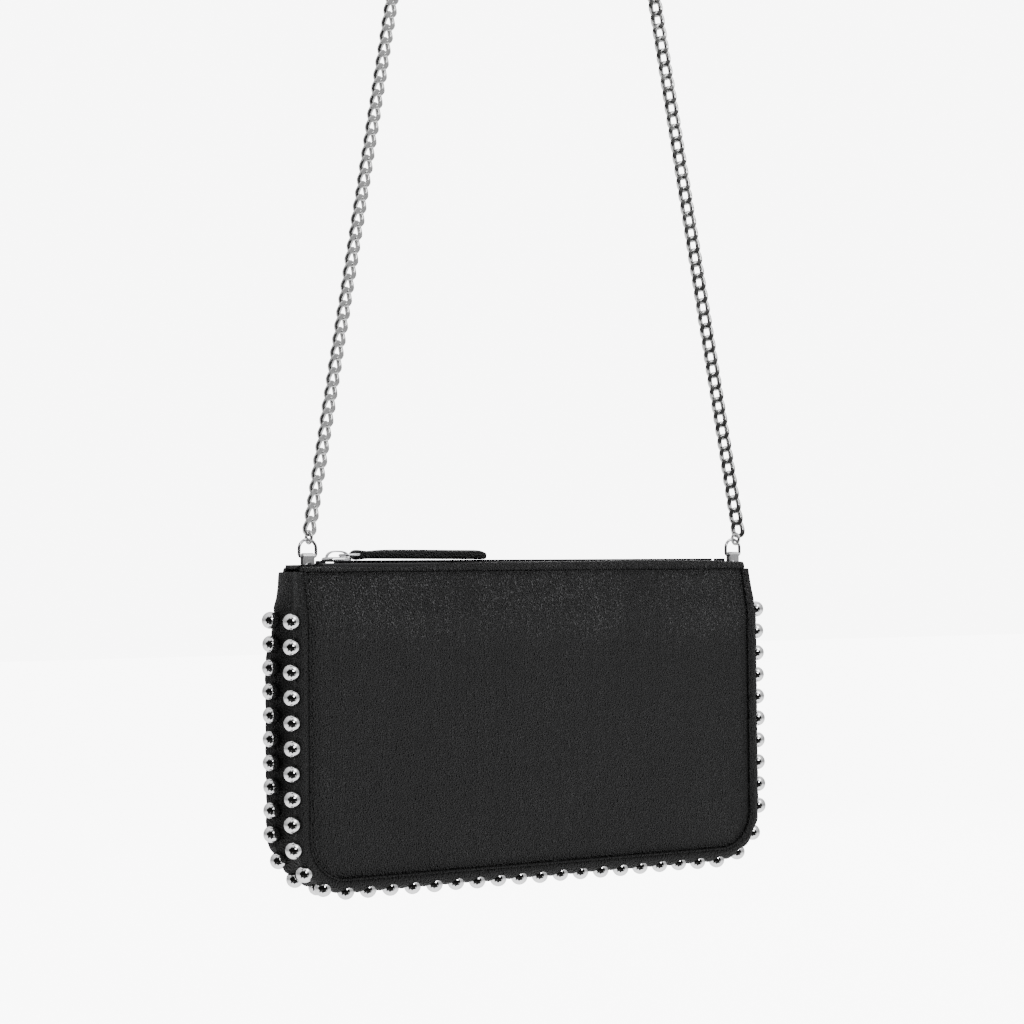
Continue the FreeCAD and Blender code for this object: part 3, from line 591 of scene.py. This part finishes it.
def make_floor():
    """A floor below the hanging pouch, which only the camera sees."""
    low = at(0, 0, FLOOR_Z).z
    corners = [(-FLOOR_REACH, -FLOOR_REACH), (FLOOR_REACH, -FLOOR_REACH)]
    corners += [(FLOOR_REACH, FLOOR_REACH), (-FLOOR_REACH, FLOOR_REACH)]
    mesh = bpy.data.meshes.new("floor")
    mesh.from_pydata([(x, y, low) for x, y in corners], [], [(0, 1, 2, 3)])
    mesh.materials.append(floor_white())
    floor = bpy.data.objects.new("floor", mesh)
    bpy.context.scene.collection.objects.link(floor)
    floor.visible_diffuse = False
    floor.visible_glossy = False
    floor.visible_shadow = False


make_camera()
make_world()
make_floor()
area_light("key", (-0.16, -1.36, 0.62), size=(0.4, 0.4), power=5)
area_light("top", (0.35, -0.9, 1.1), size=(0.7, 0.7), power=7)
area_light("rim", (0.9, 0.9, 0.6), size=(0.6, 0.9), power=5)


# ---------------------------------------------------------------- strap

CHAIN_ROUTE = (
    (-99, 0, -311.6),
    (-52.4, 0, -54.9),
    (-46.15, 0, -20.43),
    (-18.2, 0, 2.9),
    (18.2, 0, 2.9),
    (46.15, 0, -20.43),
    (52.4, 0, -54.9),
    (99, 0, -311.6),
)

# A link: how far it is to the next one, the steps round it, its wire's radius, half its length and
# half its width to the middle of the wire, how far its ends are twisted out of its plane, and where
# its two faces are ground flat.
LINK_PITCH = 5.15
LINK_STEPS = 30
LINK_WIRE = 0.98
LINK_HALF = 2.97
LINK_SIDE = 1.92
LINK_TWIST = 0.72
LINK_FLAT = 1.12

# The way the links face, in degrees round the chain. It changes halfway along, and sways a little
# from link to link.
FACING_LEFT = -12
FACING_CHANGE = 44
FACING_SWAY = 2.5

RING_WIRE = 0.6
D_RING_RADIUS = 3.5
D_RING_CORNER = 1.0
D_RING_CROWN = 2.9
JUMP_RING_RADIUS = 2.2

# Each jump ring's middle, across from its clip and above the hinge line.
JUMP_RINGS = {"left": (0.6, 7.2), "right": (1.6, 6.65)}


def chain_line():
    """Points in metres along the chain's centre line, read from its spline."""
    curve = bpy.data.curves.new("chain_route", "CURVE")
    curve.dimensions = "3D"
    spline = curve.splines.new("NURBS")
    spline.points.add(len(CHAIN_ROUTE) - 1)
    for point, (x, y, z) in zip(spline.points, CHAIN_ROUTE):
        point.co = (x * MM, y * MM, z * MM, 1)
    spline.order_u = 3
    spline.use_endpoint_u = True
    spline.resolution_u = 64
    holder = bpy.data.objects.new("chain_route", curve)
    bpy.context.scene.collection.objects.link(holder)
    bpy.context.view_layer.update()
    mesh = bpy.data.meshes.new_from_object(holder)
    line = [v.co.copy() for v in mesh.vertices]
    bpy.data.meshes.remove(mesh)
    bpy.data.objects.remove(holder)
    return line


def along_line(line, lengths, s):
    """Place and direction at a length along a line."""
    low, high = 0, len(lengths) - 1
    while high - low > 1:
        middle = (low + high) // 2
        if lengths[middle] <= s:
            low = middle
        else:
            high = middle
    step = lengths[high] - lengths[low]
    share = (s - lengths[low]) / step
    return line[low].lerp(line[high], share), (line[high] - line[low]).normalized()


def link_shape():
    """One curb link: an oval wire whose ends are twisted, with its two faces ground flat."""
    line = []
    for i, (x, y) in enumerate(squared_circle(LINK_STEPS, 2.4)):
        twist = LINK_TWIST * math.sin(4 * math.pi * i / LINK_STEPS)
        line.append((LINK_HALF * x, LINK_SIDE * y, twist))
    points, faces = tube(line, LINK_WIRE, 10)
    return [Vector((p.x, p.y, max(min(p.z, LINK_FLAT), -LINK_FLAT))) for p in points], faces


def make_chain():
    """The strap's links, laid along the cord's line."""
    line = chain_line()
    lengths = [0.0]
    for before, after in zip(line, line[1:]):
        lengths.append(lengths[-1] + (after - before).length)
    total = lengths[-1]
    start, end = 0.7 * MM, total - 0.1 * MM
    count = round((end - start) / (LINK_PITCH * MM)) + 1
    link_points, link_faces = link_shape()
    shapes = []
    for i in range(count):
        s = start + (end - start) * i / (count - 1)
        place, along = along_line(line, lengths, s)
        share = smoothstep(0.3, 0.7, s / total)
        turn = math.radians(FACING_LEFT + share * FACING_CHANGE + FACING_SWAY * math.sin(i * 1.7))
        facing = Vector((-math.sin(turn), -math.cos(turn), 0))
        facing = (facing - along * facing.dot(along)).normalized()
        side = facing.cross(along)
        points = [place + (along * p.x + side * p.y + facing * p.z) * MM for p in link_points]
        shapes.append((points, link_faces))
    points, faces = joined(shapes)
    mesh = bpy.data.meshes.new("chain_links")
    mesh.from_pydata(points, [], faces)
    mesh.materials.append(CHAIN)
    mesh.polygons.foreach_set("use_smooth", [True] * len(mesh.polygons))
    mesh.set_sharp_from_angle(angle=math.radians(38))
    chain = bpy.data.objects.new("chain_links", mesh)
    bpy.context.scene.collection.objects.link(chain)
    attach(chain, "strap")
    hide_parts("strap_chain")


def d_ring_line(x):
    """A ring with a round crown and a straight foot that lies in the clip, which is at x."""
    foot_half = D_RING_RADIUS - D_RING_CORNER
    line = []
    for k in range(17):
        turn = math.pi * k / 16
        across, up = D_RING_RADIUS * math.cos(turn), D_RING_RADIUS * math.sin(turn)
        line.append((x + across, 0, HINGE_Z + D_RING_CROWN + up))
    for sign in (-1, 1):
        corner = []
        for k in range(6):
            turn = math.pi / 2 * k / 5
            out, down = D_RING_CORNER * math.cos(turn), D_RING_CORNER * math.sin(turn)
            corner.append((x + sign * (foot_half + out), 0, HINGE_Z + D_RING_CORNER - down))
        line += corner if sign < 0 else corner[::-1]
    return line


def make_strap_ends():
    """D rings in the clips, and the round links that join them to the chain."""
    for word, x in CLIPS.items():
        points, faces = tube(d_ring_line(x), RING_WIRE, 14)
        piece(f"{word}_d_ring", points, faces, FITTING, "strap", [f"strap_ring_{word}"])
        across, rise = JUMP_RINGS[word]
        loop = [
            (x + across, JUMP_RING_RADIUS * cos, HINGE_Z + rise + JUMP_RING_RADIUS * sin)
            for cos, sin in circle(28)
        ]
        points, faces = tube(loop, RING_WIRE, 14)
        piece(f"{word}_jump_ring", points, faces, CHAIN, "strap", [f"end_link_{word}"])


make_chain()
make_strap_ends()


# ---------------------------------------------------------------- gusset and studs

GUSSET_STEPS = 400
GUSSET_LEATHER = 1.0

# Where along the studs' line the back's roll of leather swells and ends, and the front's faint one.
ROLL_RISES = (20, 34)
ROLL_ENDS = (98, 112)
FRONT_ROLL = 0.12

EDGE_STEPS = 360
EDGE_RADIUS = 0.5


def gusset_section(puff, roll):
    """The gusset from a seam to its middle: (outward, how far in from the panel's face). A roll of
    leather stands outside the balls where roll is above 0."""
    return (
        (-0.9, 0.9),
        (-0.15, 0.15),
        (0.6 + 0.7 * roll, -0.28 - 0.4 * roll),
        (1.6 + 1.9 * roll, -0.5 - 0.9 * roll),
        (2.6 + 0.4 * puff + 3.0 * roll, -0.25 - 1.45 * roll),
        (3.2 + 1.0 * puff + 2.9 * roll, 0.5 - 1.3 * roll),
        (3.3 + 1.9 * puff + 0.5 * roll, 1.6),
        (3.2 + 2.3 * puff, 2.8),
        (3.1 + 1.9 * puff, 4.1),
        (2.9 + 1.0 * puff, 5.6),
        (2.5 + 0.35 * puff, 7.1),
        (2.0, 8.7),
        (1.6, 10.2),
        (1.45, 11.5),
    )


def make_gusset():
    """The leather strip that is gathered between its studs and creased along its middle."""
    sections = []
    for i in range(GUSSET_STEPS + 1):
        s = STUD_LINE * i / GUSSET_STEPS
        x, z, nx, nz = seam(s)
        depth = half_depth(z)
        back_roll = smoothstep(*ROLL_RISES, s) * (1 - smoothstep(*ROLL_ENDS, s))
        section = []
        for side, word in FACES:
            half = []
            roll = back_roll if side > 0 else FRONT_ROLL
            for outward, inward in gusset_section(puff_at(word, s), roll):
                wobble = noise.noise(Vector((s * 0.21, inward * 0.4, side * 5.0)))
                outward += 0.3 * wobble * smoothstep(1.0, 3.0, outward)
                y = side * (depth - inward * depth / HALF_DEPTH)
                half.append((x + nx * outward, y, z + nz * outward))
            section += half if side < 0 else half[::-1][1:]
        sections.append(section)
    points = [point for section in sections for point in section]
    faces = grid_faces(len(sections), len(sections[0]))
    strip = piece("gusset_leather", points, faces, LEATHER_GUSSET_SHADED, "bag", ["gusset"], levels=1)
    thicken(strip, GUSSET_LEATHER)


def make_turned_edges():
    """The turned edge that stands along each panel seam."""
    end = 0.3
    for side, word in FACES:
        line = []
        for i in range(EDGE_STEPS + 1):
            s = end + (STUD_LINE - 2 * end) * i / EDGE_STEPS
            x, z, nx, nz = seam(s)
            jitter = 0.12 * noise.noise(Vector((s * 0.5, side, 0)))
            line.append((x + nx * 0.05, side * (half_depth(z) + 0.05 + jitter), z + nz * 0.05))
        points, faces = tube(line, EDGE_RADIUS, 8, closed=False)
        piece(f"{word}_turned_edge", points, faces, LEATHER_TOP, "bag", [f"{word}_welt"])


def ball(centre, outward, reach):
    """A ball cap whose foot is cut flat where it sits on the gusset. Its reach is how far its
    centre is from the seam."""
    rings, sides = 14, 24
    side = outward.orthogonal().normalized()
    other = outward.cross(side)
    low = math.asin((reach - STUD_SEAT) / STUD_RADIUS)
    points = []
    for i in range(rings):
        angle = -low + (math.pi / 2 + low) * i / (rings - 0.35)
        radius, height = STUD_RADIUS * math.cos(angle), STUD_RADIUS * math.sin(angle)
        for cos, sin in circle(sides):
            points.append(centre + outward * height + (side * cos + other * sin) * radius)
    foot, crown = caps(rings, sides)
    points.append(centre + outward * STUD_RADIUS)
    faces = grid_faces(rings, sides, wrap_columns=True) + [foot]
    faces += [(here, there, len(points) - 1) for here, there in zip(crown, crown[1:] + crown[:1])]
    return points, faces


def make_studs():
    """The two rows of balls, each ball a little out of line as on the real one."""
    for side, word in FACES:
        shapes = []
        for s in STUD_ROWS[word]:
            x, z, nx, nz = seam(s)
            reach = STUD_OUTSET + (STUD_OUTSET_LOW - STUD_OUTSET) * max(0.0, -nz)
            place = reach + random.uniform(-0.12, 0.12)
            row = side * STUD_ROW + random.uniform(-0.15, 0.15)
            outward = Vector((nx, side * 0.12, nz)).normalized()
            shapes.append(ball(Vector((x + nx * place, row, z + nz * place)), outward, reach))
        points, faces = joined(shapes)
        piece(f"{word}_balls", points, faces, BALL, "bag", [f"stud_balls_{word}"])


make_gusset()
make_turned_edges()
make_studs()


# ---------------------------------------------------------------- panels

PANEL_COLUMNS = 140
PANEL_ROWS = 84
PANEL_LEATHER = 1.2

# One stitch: (along, outward from the panel's face, above the top line).
STITCH_LINE = (
    (0, -0.35, -0.8), (0.3, 0.1, -0.76), (1.0, 0.2, -0.72), (1.7, 0.1, -0.68), (2.0, -0.35, -0.64),
)
STITCH_RADIUS = 0.2
STITCH_SPAN = (-99.0, 98.5)
STITCH_PITCH = 2.6


def panel_tuck(to_edge, z):
    """How far a panel is drawn in: at its edge, in a groove along the seam and at the top line."""
    edge = 0.85 * math.exp(-to_edge / 0.7)
    groove = 0.25 * math.exp(-((to_edge - 2.3) / 0.5) ** 2)
    return edge + groove + 0.5 * math.exp(-abs(z + 0.7) / 0.5)


def panel_swell(x, z, side, to_edge):
    """How far a panel swells out, unevenly, away from its edge."""
    broad = 0.35 * noise.noise(Vector((x * 0.018, z * 0.03, side * 3.0)))
    small = 0.12 * noise.noise(Vector((x * 0.09, z * 0.025, side * 9.0)))
    return (broad + small) * smoothstep(0, 9, to_edge)


def make_panels():
    """Soft panels, flat in the middle and drawn in along their seams."""
    low = -HEIGHT + 0.02
    for side, word in FACES:
        points = []
        for i in range(PANEL_ROWS + 1):
            share = i / PANEL_ROWS
            share -= 0.035 * math.sin(2 * math.pi * share)
            z = low - low * share
            drop = max(0.0, -(z + HEIGHT - CORNER))
            width = HALF_WIDTH - CORNER + math.sqrt(max(CORNER**2 - drop**2, 0.0))
            for j in range(PANEL_COLUMNS + 1):
                across = -1 + 2 * j / PANEL_COLUMNS
                across += 0.1 * math.sin(math.pi * across) / math.pi
                x = across * width
                to_edge = min(width - abs(x), z + HEIGHT)
                out = 0.1 + panel_swell(x, z, side, to_edge) - panel_tuck(to_edge, z)
                points.append((x, side * (half_depth(z) + out), z))
        faces = grid_faces(PANEL_ROWS + 1, PANEL_COLUMNS + 1)
        if side > 0:
            faces = flipped(faces)
        name, replaced = f"{word}_leather", [f"{word}_panel"]
        panel = piece(name, points, faces, LEATHER, "bag", replaced, levels=1)
        thicken(panel, PANEL_LEATHER)


def make_stitches():
    """Sewing under the top binding, on both faces. Each stitch comes out and goes back in."""
    for side, word in FACES:
        face = side * (half_depth(-0.7) - 0.2)
        shapes = []
        x, end = STITCH_SPAN
        while x < end:
            line = [(x + on, face + side * out, z) for on, out, z in STITCH_LINE]
            shapes.append(tube(line, STITCH_RADIUS, 6, closed=False))
            x += STITCH_PITCH
        points, faces = joined(shapes)
        piece(f"{word}_stitches", points, faces, THREAD, "bag")


make_panels()
make_stitches()


# ---------------------------------------------------------------- top edge and zip

BINDING_STEPS = 150
BINDING_HALF = 101.6

# A binding's section: (outward from the pouch's top edge, above the top line).
BINDING_SECTION = (
    (0.25, -0.25), (0.42, 0.5), (0.5, 1.6), (0.3, 2.7), (-0.35, 3.3), (-1.3, 3.42), (-2.2, 3.2),
    (-2.65, 2.6), (-2.7, 1.2), (-2.7, -2.0), (-2.7, -6.0), (-1.5, -6.0), (-1.45, -2.0), (-1.2, -0.6),
)

TAPE_ENDS = (-91, 96)

# A tape's section: (from the middle of the zip, above the top line).
TAPE_SECTION = (
    (5.05, -6.0), (5.05, 1.6), (4.7, 2.6), (3.9, 2.95), (1.2, 3.1),
    (1.2, 2.65), (3.9, 2.5), (4.35, 2.2), (4.6, 1.5), (4.6, -6.0),
)

TOOTH_COUNT = 87
TOOTH_PITCH = 2.0
FIRST_TOOTH = -83.4


def binding_rise(x):
    """How far the bindings rise along the top, and dip at both ends. The zip between them runs
    straight."""
    swell = 0.75 * math.exp(-((x - 55) / 26) ** 2) - 0.2 * math.exp(-((x + 20) / 40) ** 2)
    right_dip = 0.56 * smoothstep(80, 97, x)
    left_dip = 1.6 * (1 - smoothstep(-62, -28, x))
    return 0.35 * swell - right_dip - left_dip


def make_bindings():
    """Folded strips that cap the panels."""
    for side, word in FACES:
        sections = []
        for i in range(BINDING_STEPS + 1):
            x = -BINDING_HALF + 2 * BINDING_HALF * i / BINDING_STEPS
            wave = 0.1 * noise.noise(Vector((x * 0.12, side * 4.0, 1.0)))
            rise = binding_rise(x) + wave
            sections.append([
                (x, side * (TOP_HALF_DEPTH + outward + wave), z + rise * smoothstep(-0.5, 3.0, z))
                for outward, z in BINDING_SECTION
            ])
        points, faces = lofted(sections)
        if side < 0:
            faces = flipped(faces)
        name, replaced = f"{word}_binding", [f"top_binding_{word}"]
        piece(name, points, faces, LEATHER_TOP, "bag", replaced, levels=1)


def make_tapes():
    """The zip's two tapes, which stand behind the bindings and turn in towards the teeth."""
    for side, word in FACES:
        points, faces = lofted([[(x, side * y, z) for y, z in TAPE_SECTION] for x in TAPE_ENDS])
        if side > 0:
            faces = flipped(faces)
        piece(f"{word}_tape", points, faces, TAPE, "bag", [f"zip_tape_{word}"], smooth=False)


def bevelled_block(low, high, bevel):
    """A block with bevelled edges, between two opposite corners: (points, faces)."""
    (left, front, bottom), (right, back, top) = low, high
    sections = []
    for z, inset in ((bottom, bevel), (bottom + bevel, 0), (top - bevel, 0), (top, bevel)):
        x0, x1, y0, y1 = left + inset, right - inset, front + inset, back - inset
        sections.append([
            (x0 + bevel, y0, z), (x1 - bevel, y0, z), (x1, y0 + bevel, z), (x1, y1 - bevel, z),
            (x1 - bevel, y1, z), (x0 + bevel, y1, z), (x0, y1 - bevel, z), (x0, y0 + bevel, z),
        ])
    return lofted(sections)


def tooth_block(side, x, half_width, depths, heights, bevel):
    """A block of a tooth, between two depths that count towards the tooth's own side."""
    front, back = sorted(side * depth for depth in depths)
    low, high = heights
    return bevelled_block((x - half_width, front, low), (x + half_width, back, high), bevel)


def make_teeth():
    """The zip's two rows of teeth, each a block with a narrower nose that reaches past the middle."""
    for side, word in FACES:
        shift = 0.0 if side < 0 else TOOTH_PITCH / 2
        shapes = []
        for i in range(TOOTH_COUNT):
            x = FIRST_TOOTH + shift + TOOTH_PITCH * i
            shapes.append(tooth_block(side, x, 0.55, (2.15, -0.2), (1.6, 4.1), 0.16))
            shapes.append(tooth_block(side, x, 0.38, (-0.1, -0.85), (1.9, 3.85), 0.14))
        points, faces = joined(shapes)
        name, replaced = f"{word}_teeth", [f"zip_teeth_{word}"]
        piece(name, points, faces, GUNMETAL, "bag", replaced, smooth=False)


make_bindings()
make_tapes()
make_teeth()


# ---------------------------------------------------------------- slider and pull

# The slider's top plate: its ends along the zip, half its width, the underside of its roof, the foot
# of the flange down each side, and half the width of the channel between the flanges.
SLIDER_ENDS = (-88.2, -77.8)
SLIDER_HALF = 4.0
SLIDER_ROOF = 4.3
FLANGE_FOOT = 3.45
CHANNEL_HALF = 2.7

# The bridge's arch, as (x, z), and its cross-section, as (y, up) for a half-width and height of 1.
BRIDGE_SPINE = (
    (-87.2, 5.2), (-86.9, 5.9), (-86.0, 6.9), (-84.6, 7.35), (-82.5, 7.42),
    (-80.4, 7.3), (-79.1, 6.9), (-78.55, 6.2), (-78.45, 5.2),
)
BRIDGE_SECTION = (
    (-1, 0), (-0.75, 0.4), (0, 0.5), (0.75, 0.4), (1, 0), (0.75, -0.35), (0, -0.4), (-0.75, -0.35),
)

BRIDGE_HALF = 1.5
BRIDGE_THICKNESS = 0.8

# The pull's ring turns on the slider at its pivot, and the tab on the ring's far bar. Both slope, in
# degrees: the ring up and the tab down.
PULL_PIVOT = Vector((-80.1, 0, 5.95))
RING_REACH = 5.3
RING_HALF = 3.1
RING_CORNER = 0.7
PULL_WIRE = 0.6
RING_SLOPE = 1.5
RING_WAY = Vector((math.cos(math.radians(RING_SLOPE)), 0, math.sin(math.radians(RING_SLOPE))))
TAB_SLOPE = 0.45

# The tab is folded round the bar with this radius. Its stations run from the fold to its far end.
TAB_FOLD = 1.95
TAB_STATIONS = (
    -1.95, -1.85, -1.5, -0.9, 0.0, 0.9, 1.8, 2.8, 3.8, 5, 6.5, 8.5,
    12, 18, 25, 32, 39, 45, 49.5, 52, 53.6, 54.8, 55.25, 55.4,
)

# A clip's strip: its outer and inner radius round the hinge line, how far its legs reach below that
# line, and half its width.
CLIP_OUTER = 1.38
CLIP_INNER = 0.68
CLIP_LEG = 5.2
CLIP_HALF = 2.3


def slider_plate():
    """The domed top plate, with a flange down each side of the teeth and a channel between them that
    is open at both ends."""
    left, right = SLIDER_ENDS
    middle, half_length = (left + right) / 2, (right - left) / 2
    sections = []
    for z, inset, half_width in (
        (SLIDER_ROOF, 0.0, CHANNEL_HALF),
        (FLANGE_FOOT, 0.0, SLIDER_HALF),
        (SLIDER_ROOF + 0.1, 0.0, SLIDER_HALF),
        (SLIDER_ROOF + 0.7, 0.25, SLIDER_HALF - 0.25),
        (SLIDER_ROOF + 1.0, 0.9, SLIDER_HALF - 0.9),
    ):
        section = []
        for along, across in squared_circle(32, 4):
            y = half_width * across
            over_channel = abs(y) < CHANNEL_HALF + 0.1
            height = max(z, SLIDER_ROOF) if over_channel else z
            section.append((middle + (half_length - inset) * along, y, height))
        sections.append(section)
    return lofted(sections)


def slider_bridge():
    """The arch over the top plate, widest in its middle."""
    last = len(BRIDGE_SPINE) - 1
    sections = []
    for i, (x, z) in enumerate(BRIDGE_SPINE):
        before, after = BRIDGE_SPINE[max(i - 1, 0)], BRIDGE_SPINE[min(i + 1, last)]
        along = Vector((after[0] - before[0], after[1] - before[1])).normalized()
        out = Vector((-along.y, along.x)) * BRIDGE_THICKNESS
        half_width = BRIDGE_HALF - 0.25 * abs(2 * i - last) / last
        sections.append([(x + out.x * up, y * half_width, z + out.y * up) for y, up in BRIDGE_SECTION])
    return lofted(sections)


def make_slider():
    points, faces = slider_plate()
    piece("slider_top", points, faces, FITTING, "slider", ["slider_top_plate"])
    points, faces = slider_bridge()
    piece("slider_arch", points, faces, FITTING, "slider", ["slider_bridge"], levels=1)


def make_pull_ring():
    """The wire ring that joins the tab to the slider."""
    outline = rounded_outline(
        [(0, -RING_HALF), (RING_REACH, -RING_HALF), (RING_REACH, RING_HALF), (0, RING_HALF)], RING_CORNER
    )
    line = [PULL_PIVOT + RING_WAY * p.x + Vector((0, p.y, 0)) for p in outline]
    points, faces = tube(line, PULL_WIRE)
    piece("pull_wire", points, faces, FITTING, "pull_ring", ["pull_ring"])


def tab_half_thickness(x):
    """Round at the fold, then thinning to two layers, with its last edge a little thinner."""
    if x < 0:
        return math.sqrt(max(TAB_FOLD**2 - x * x, 0.0)) + 0.08
    half = 1.5 + 0.45 * math.exp(-(x / 2.6) ** 2)
    return 0.9 * half if x == TAB_STATIONS[-1] else half


def tab_half_width(x):
    """Narrow inside the ring, then widening, and rounded off at the far end."""
    widening = 1.9 * smoothstep(1.4, 7.5, x)
    rounding = 0.7 * smoothstep(53.5, 55.6, x) ** 2
    return 2.3 + widening - rounding - 0.15 * smoothstep(8, 25, x)


def make_pull_tab():
    """The leather tab, folded round the ring's far bar. Its upper face stands a little above the
    CAD's and comes down at the far end."""
    bar = PULL_PIVOT + RING_WAY * RING_REACH
    slope = math.radians(TAB_SLOPE)
    on = Vector((math.cos(slope), 0, -math.sin(slope)))
    up = Vector((math.sin(slope), 0, math.cos(slope)))
    sections = []
    for x in TAB_STATIONS:
        half_thickness, half_width = tab_half_thickness(x), tab_half_width(x)
        raised = 0.64 * smoothstep(4, 12, x) + 0.1 * noise.noise(Vector((x * 0.15, 3.0, 0)))
        lowered = 0.9 * smoothstep(52.6, 55.4, x)
        section = []
        for across, above in squared_circle(20, 5):
            upper = smoothstep(0.0, 1.0, above)
            place = bar + on * x + up * (half_thickness * above + raised * upper)
            section.append((place.x, place.y + half_width * across, place.z - lowered * upper))
        sections.append(section)
    points, faces = lofted(sections)
    piece("pull_leather", points, faces, LEATHER_TAB, "pull_tab", ["pull_tab"], levels=1)


def clip_arc(radius):
    """Half a circle over the hinge line, from front to back, as (y, z)."""
    turns = [math.pi * k / 14 for k in range(15)]
    return [(-radius * math.cos(turn), HINGE_Z + radius * math.sin(turn)) for turn in turns]


def make_clips():
    """Folded metal strips that hold the strap's rings at the zip's ends."""
    foot = HINGE_Z - CLIP_LEG
    profile = [(-CLIP_OUTER, foot), *clip_arc(CLIP_OUTER), (CLIP_OUTER, foot)]
    profile += [(CLIP_INNER, foot), *clip_arc(CLIP_INNER)[::-1], (-CLIP_INNER, foot)]
    for word, x in CLIPS.items():
        ends = (x - CLIP_HALF, x + CLIP_HALF)
        points, faces = lofted([[(end, y, z) for y, z in profile] for end in ends])
        clip = piece(f"{word}_clip", points, faces, CLIP, "bag", [f"ring_clip_{word}"])
        bevel = clip.modifiers.new("edges", "BEVEL")
        bevel.width = 0.12 * MM
        bevel.segments = 2
        bevel.limit_method = "ANGLE"
        clip.data.set_sharp_from_angle(angle=math.radians(40))


make_slider()
make_pull_ring()
make_pull_tab()
make_clips()
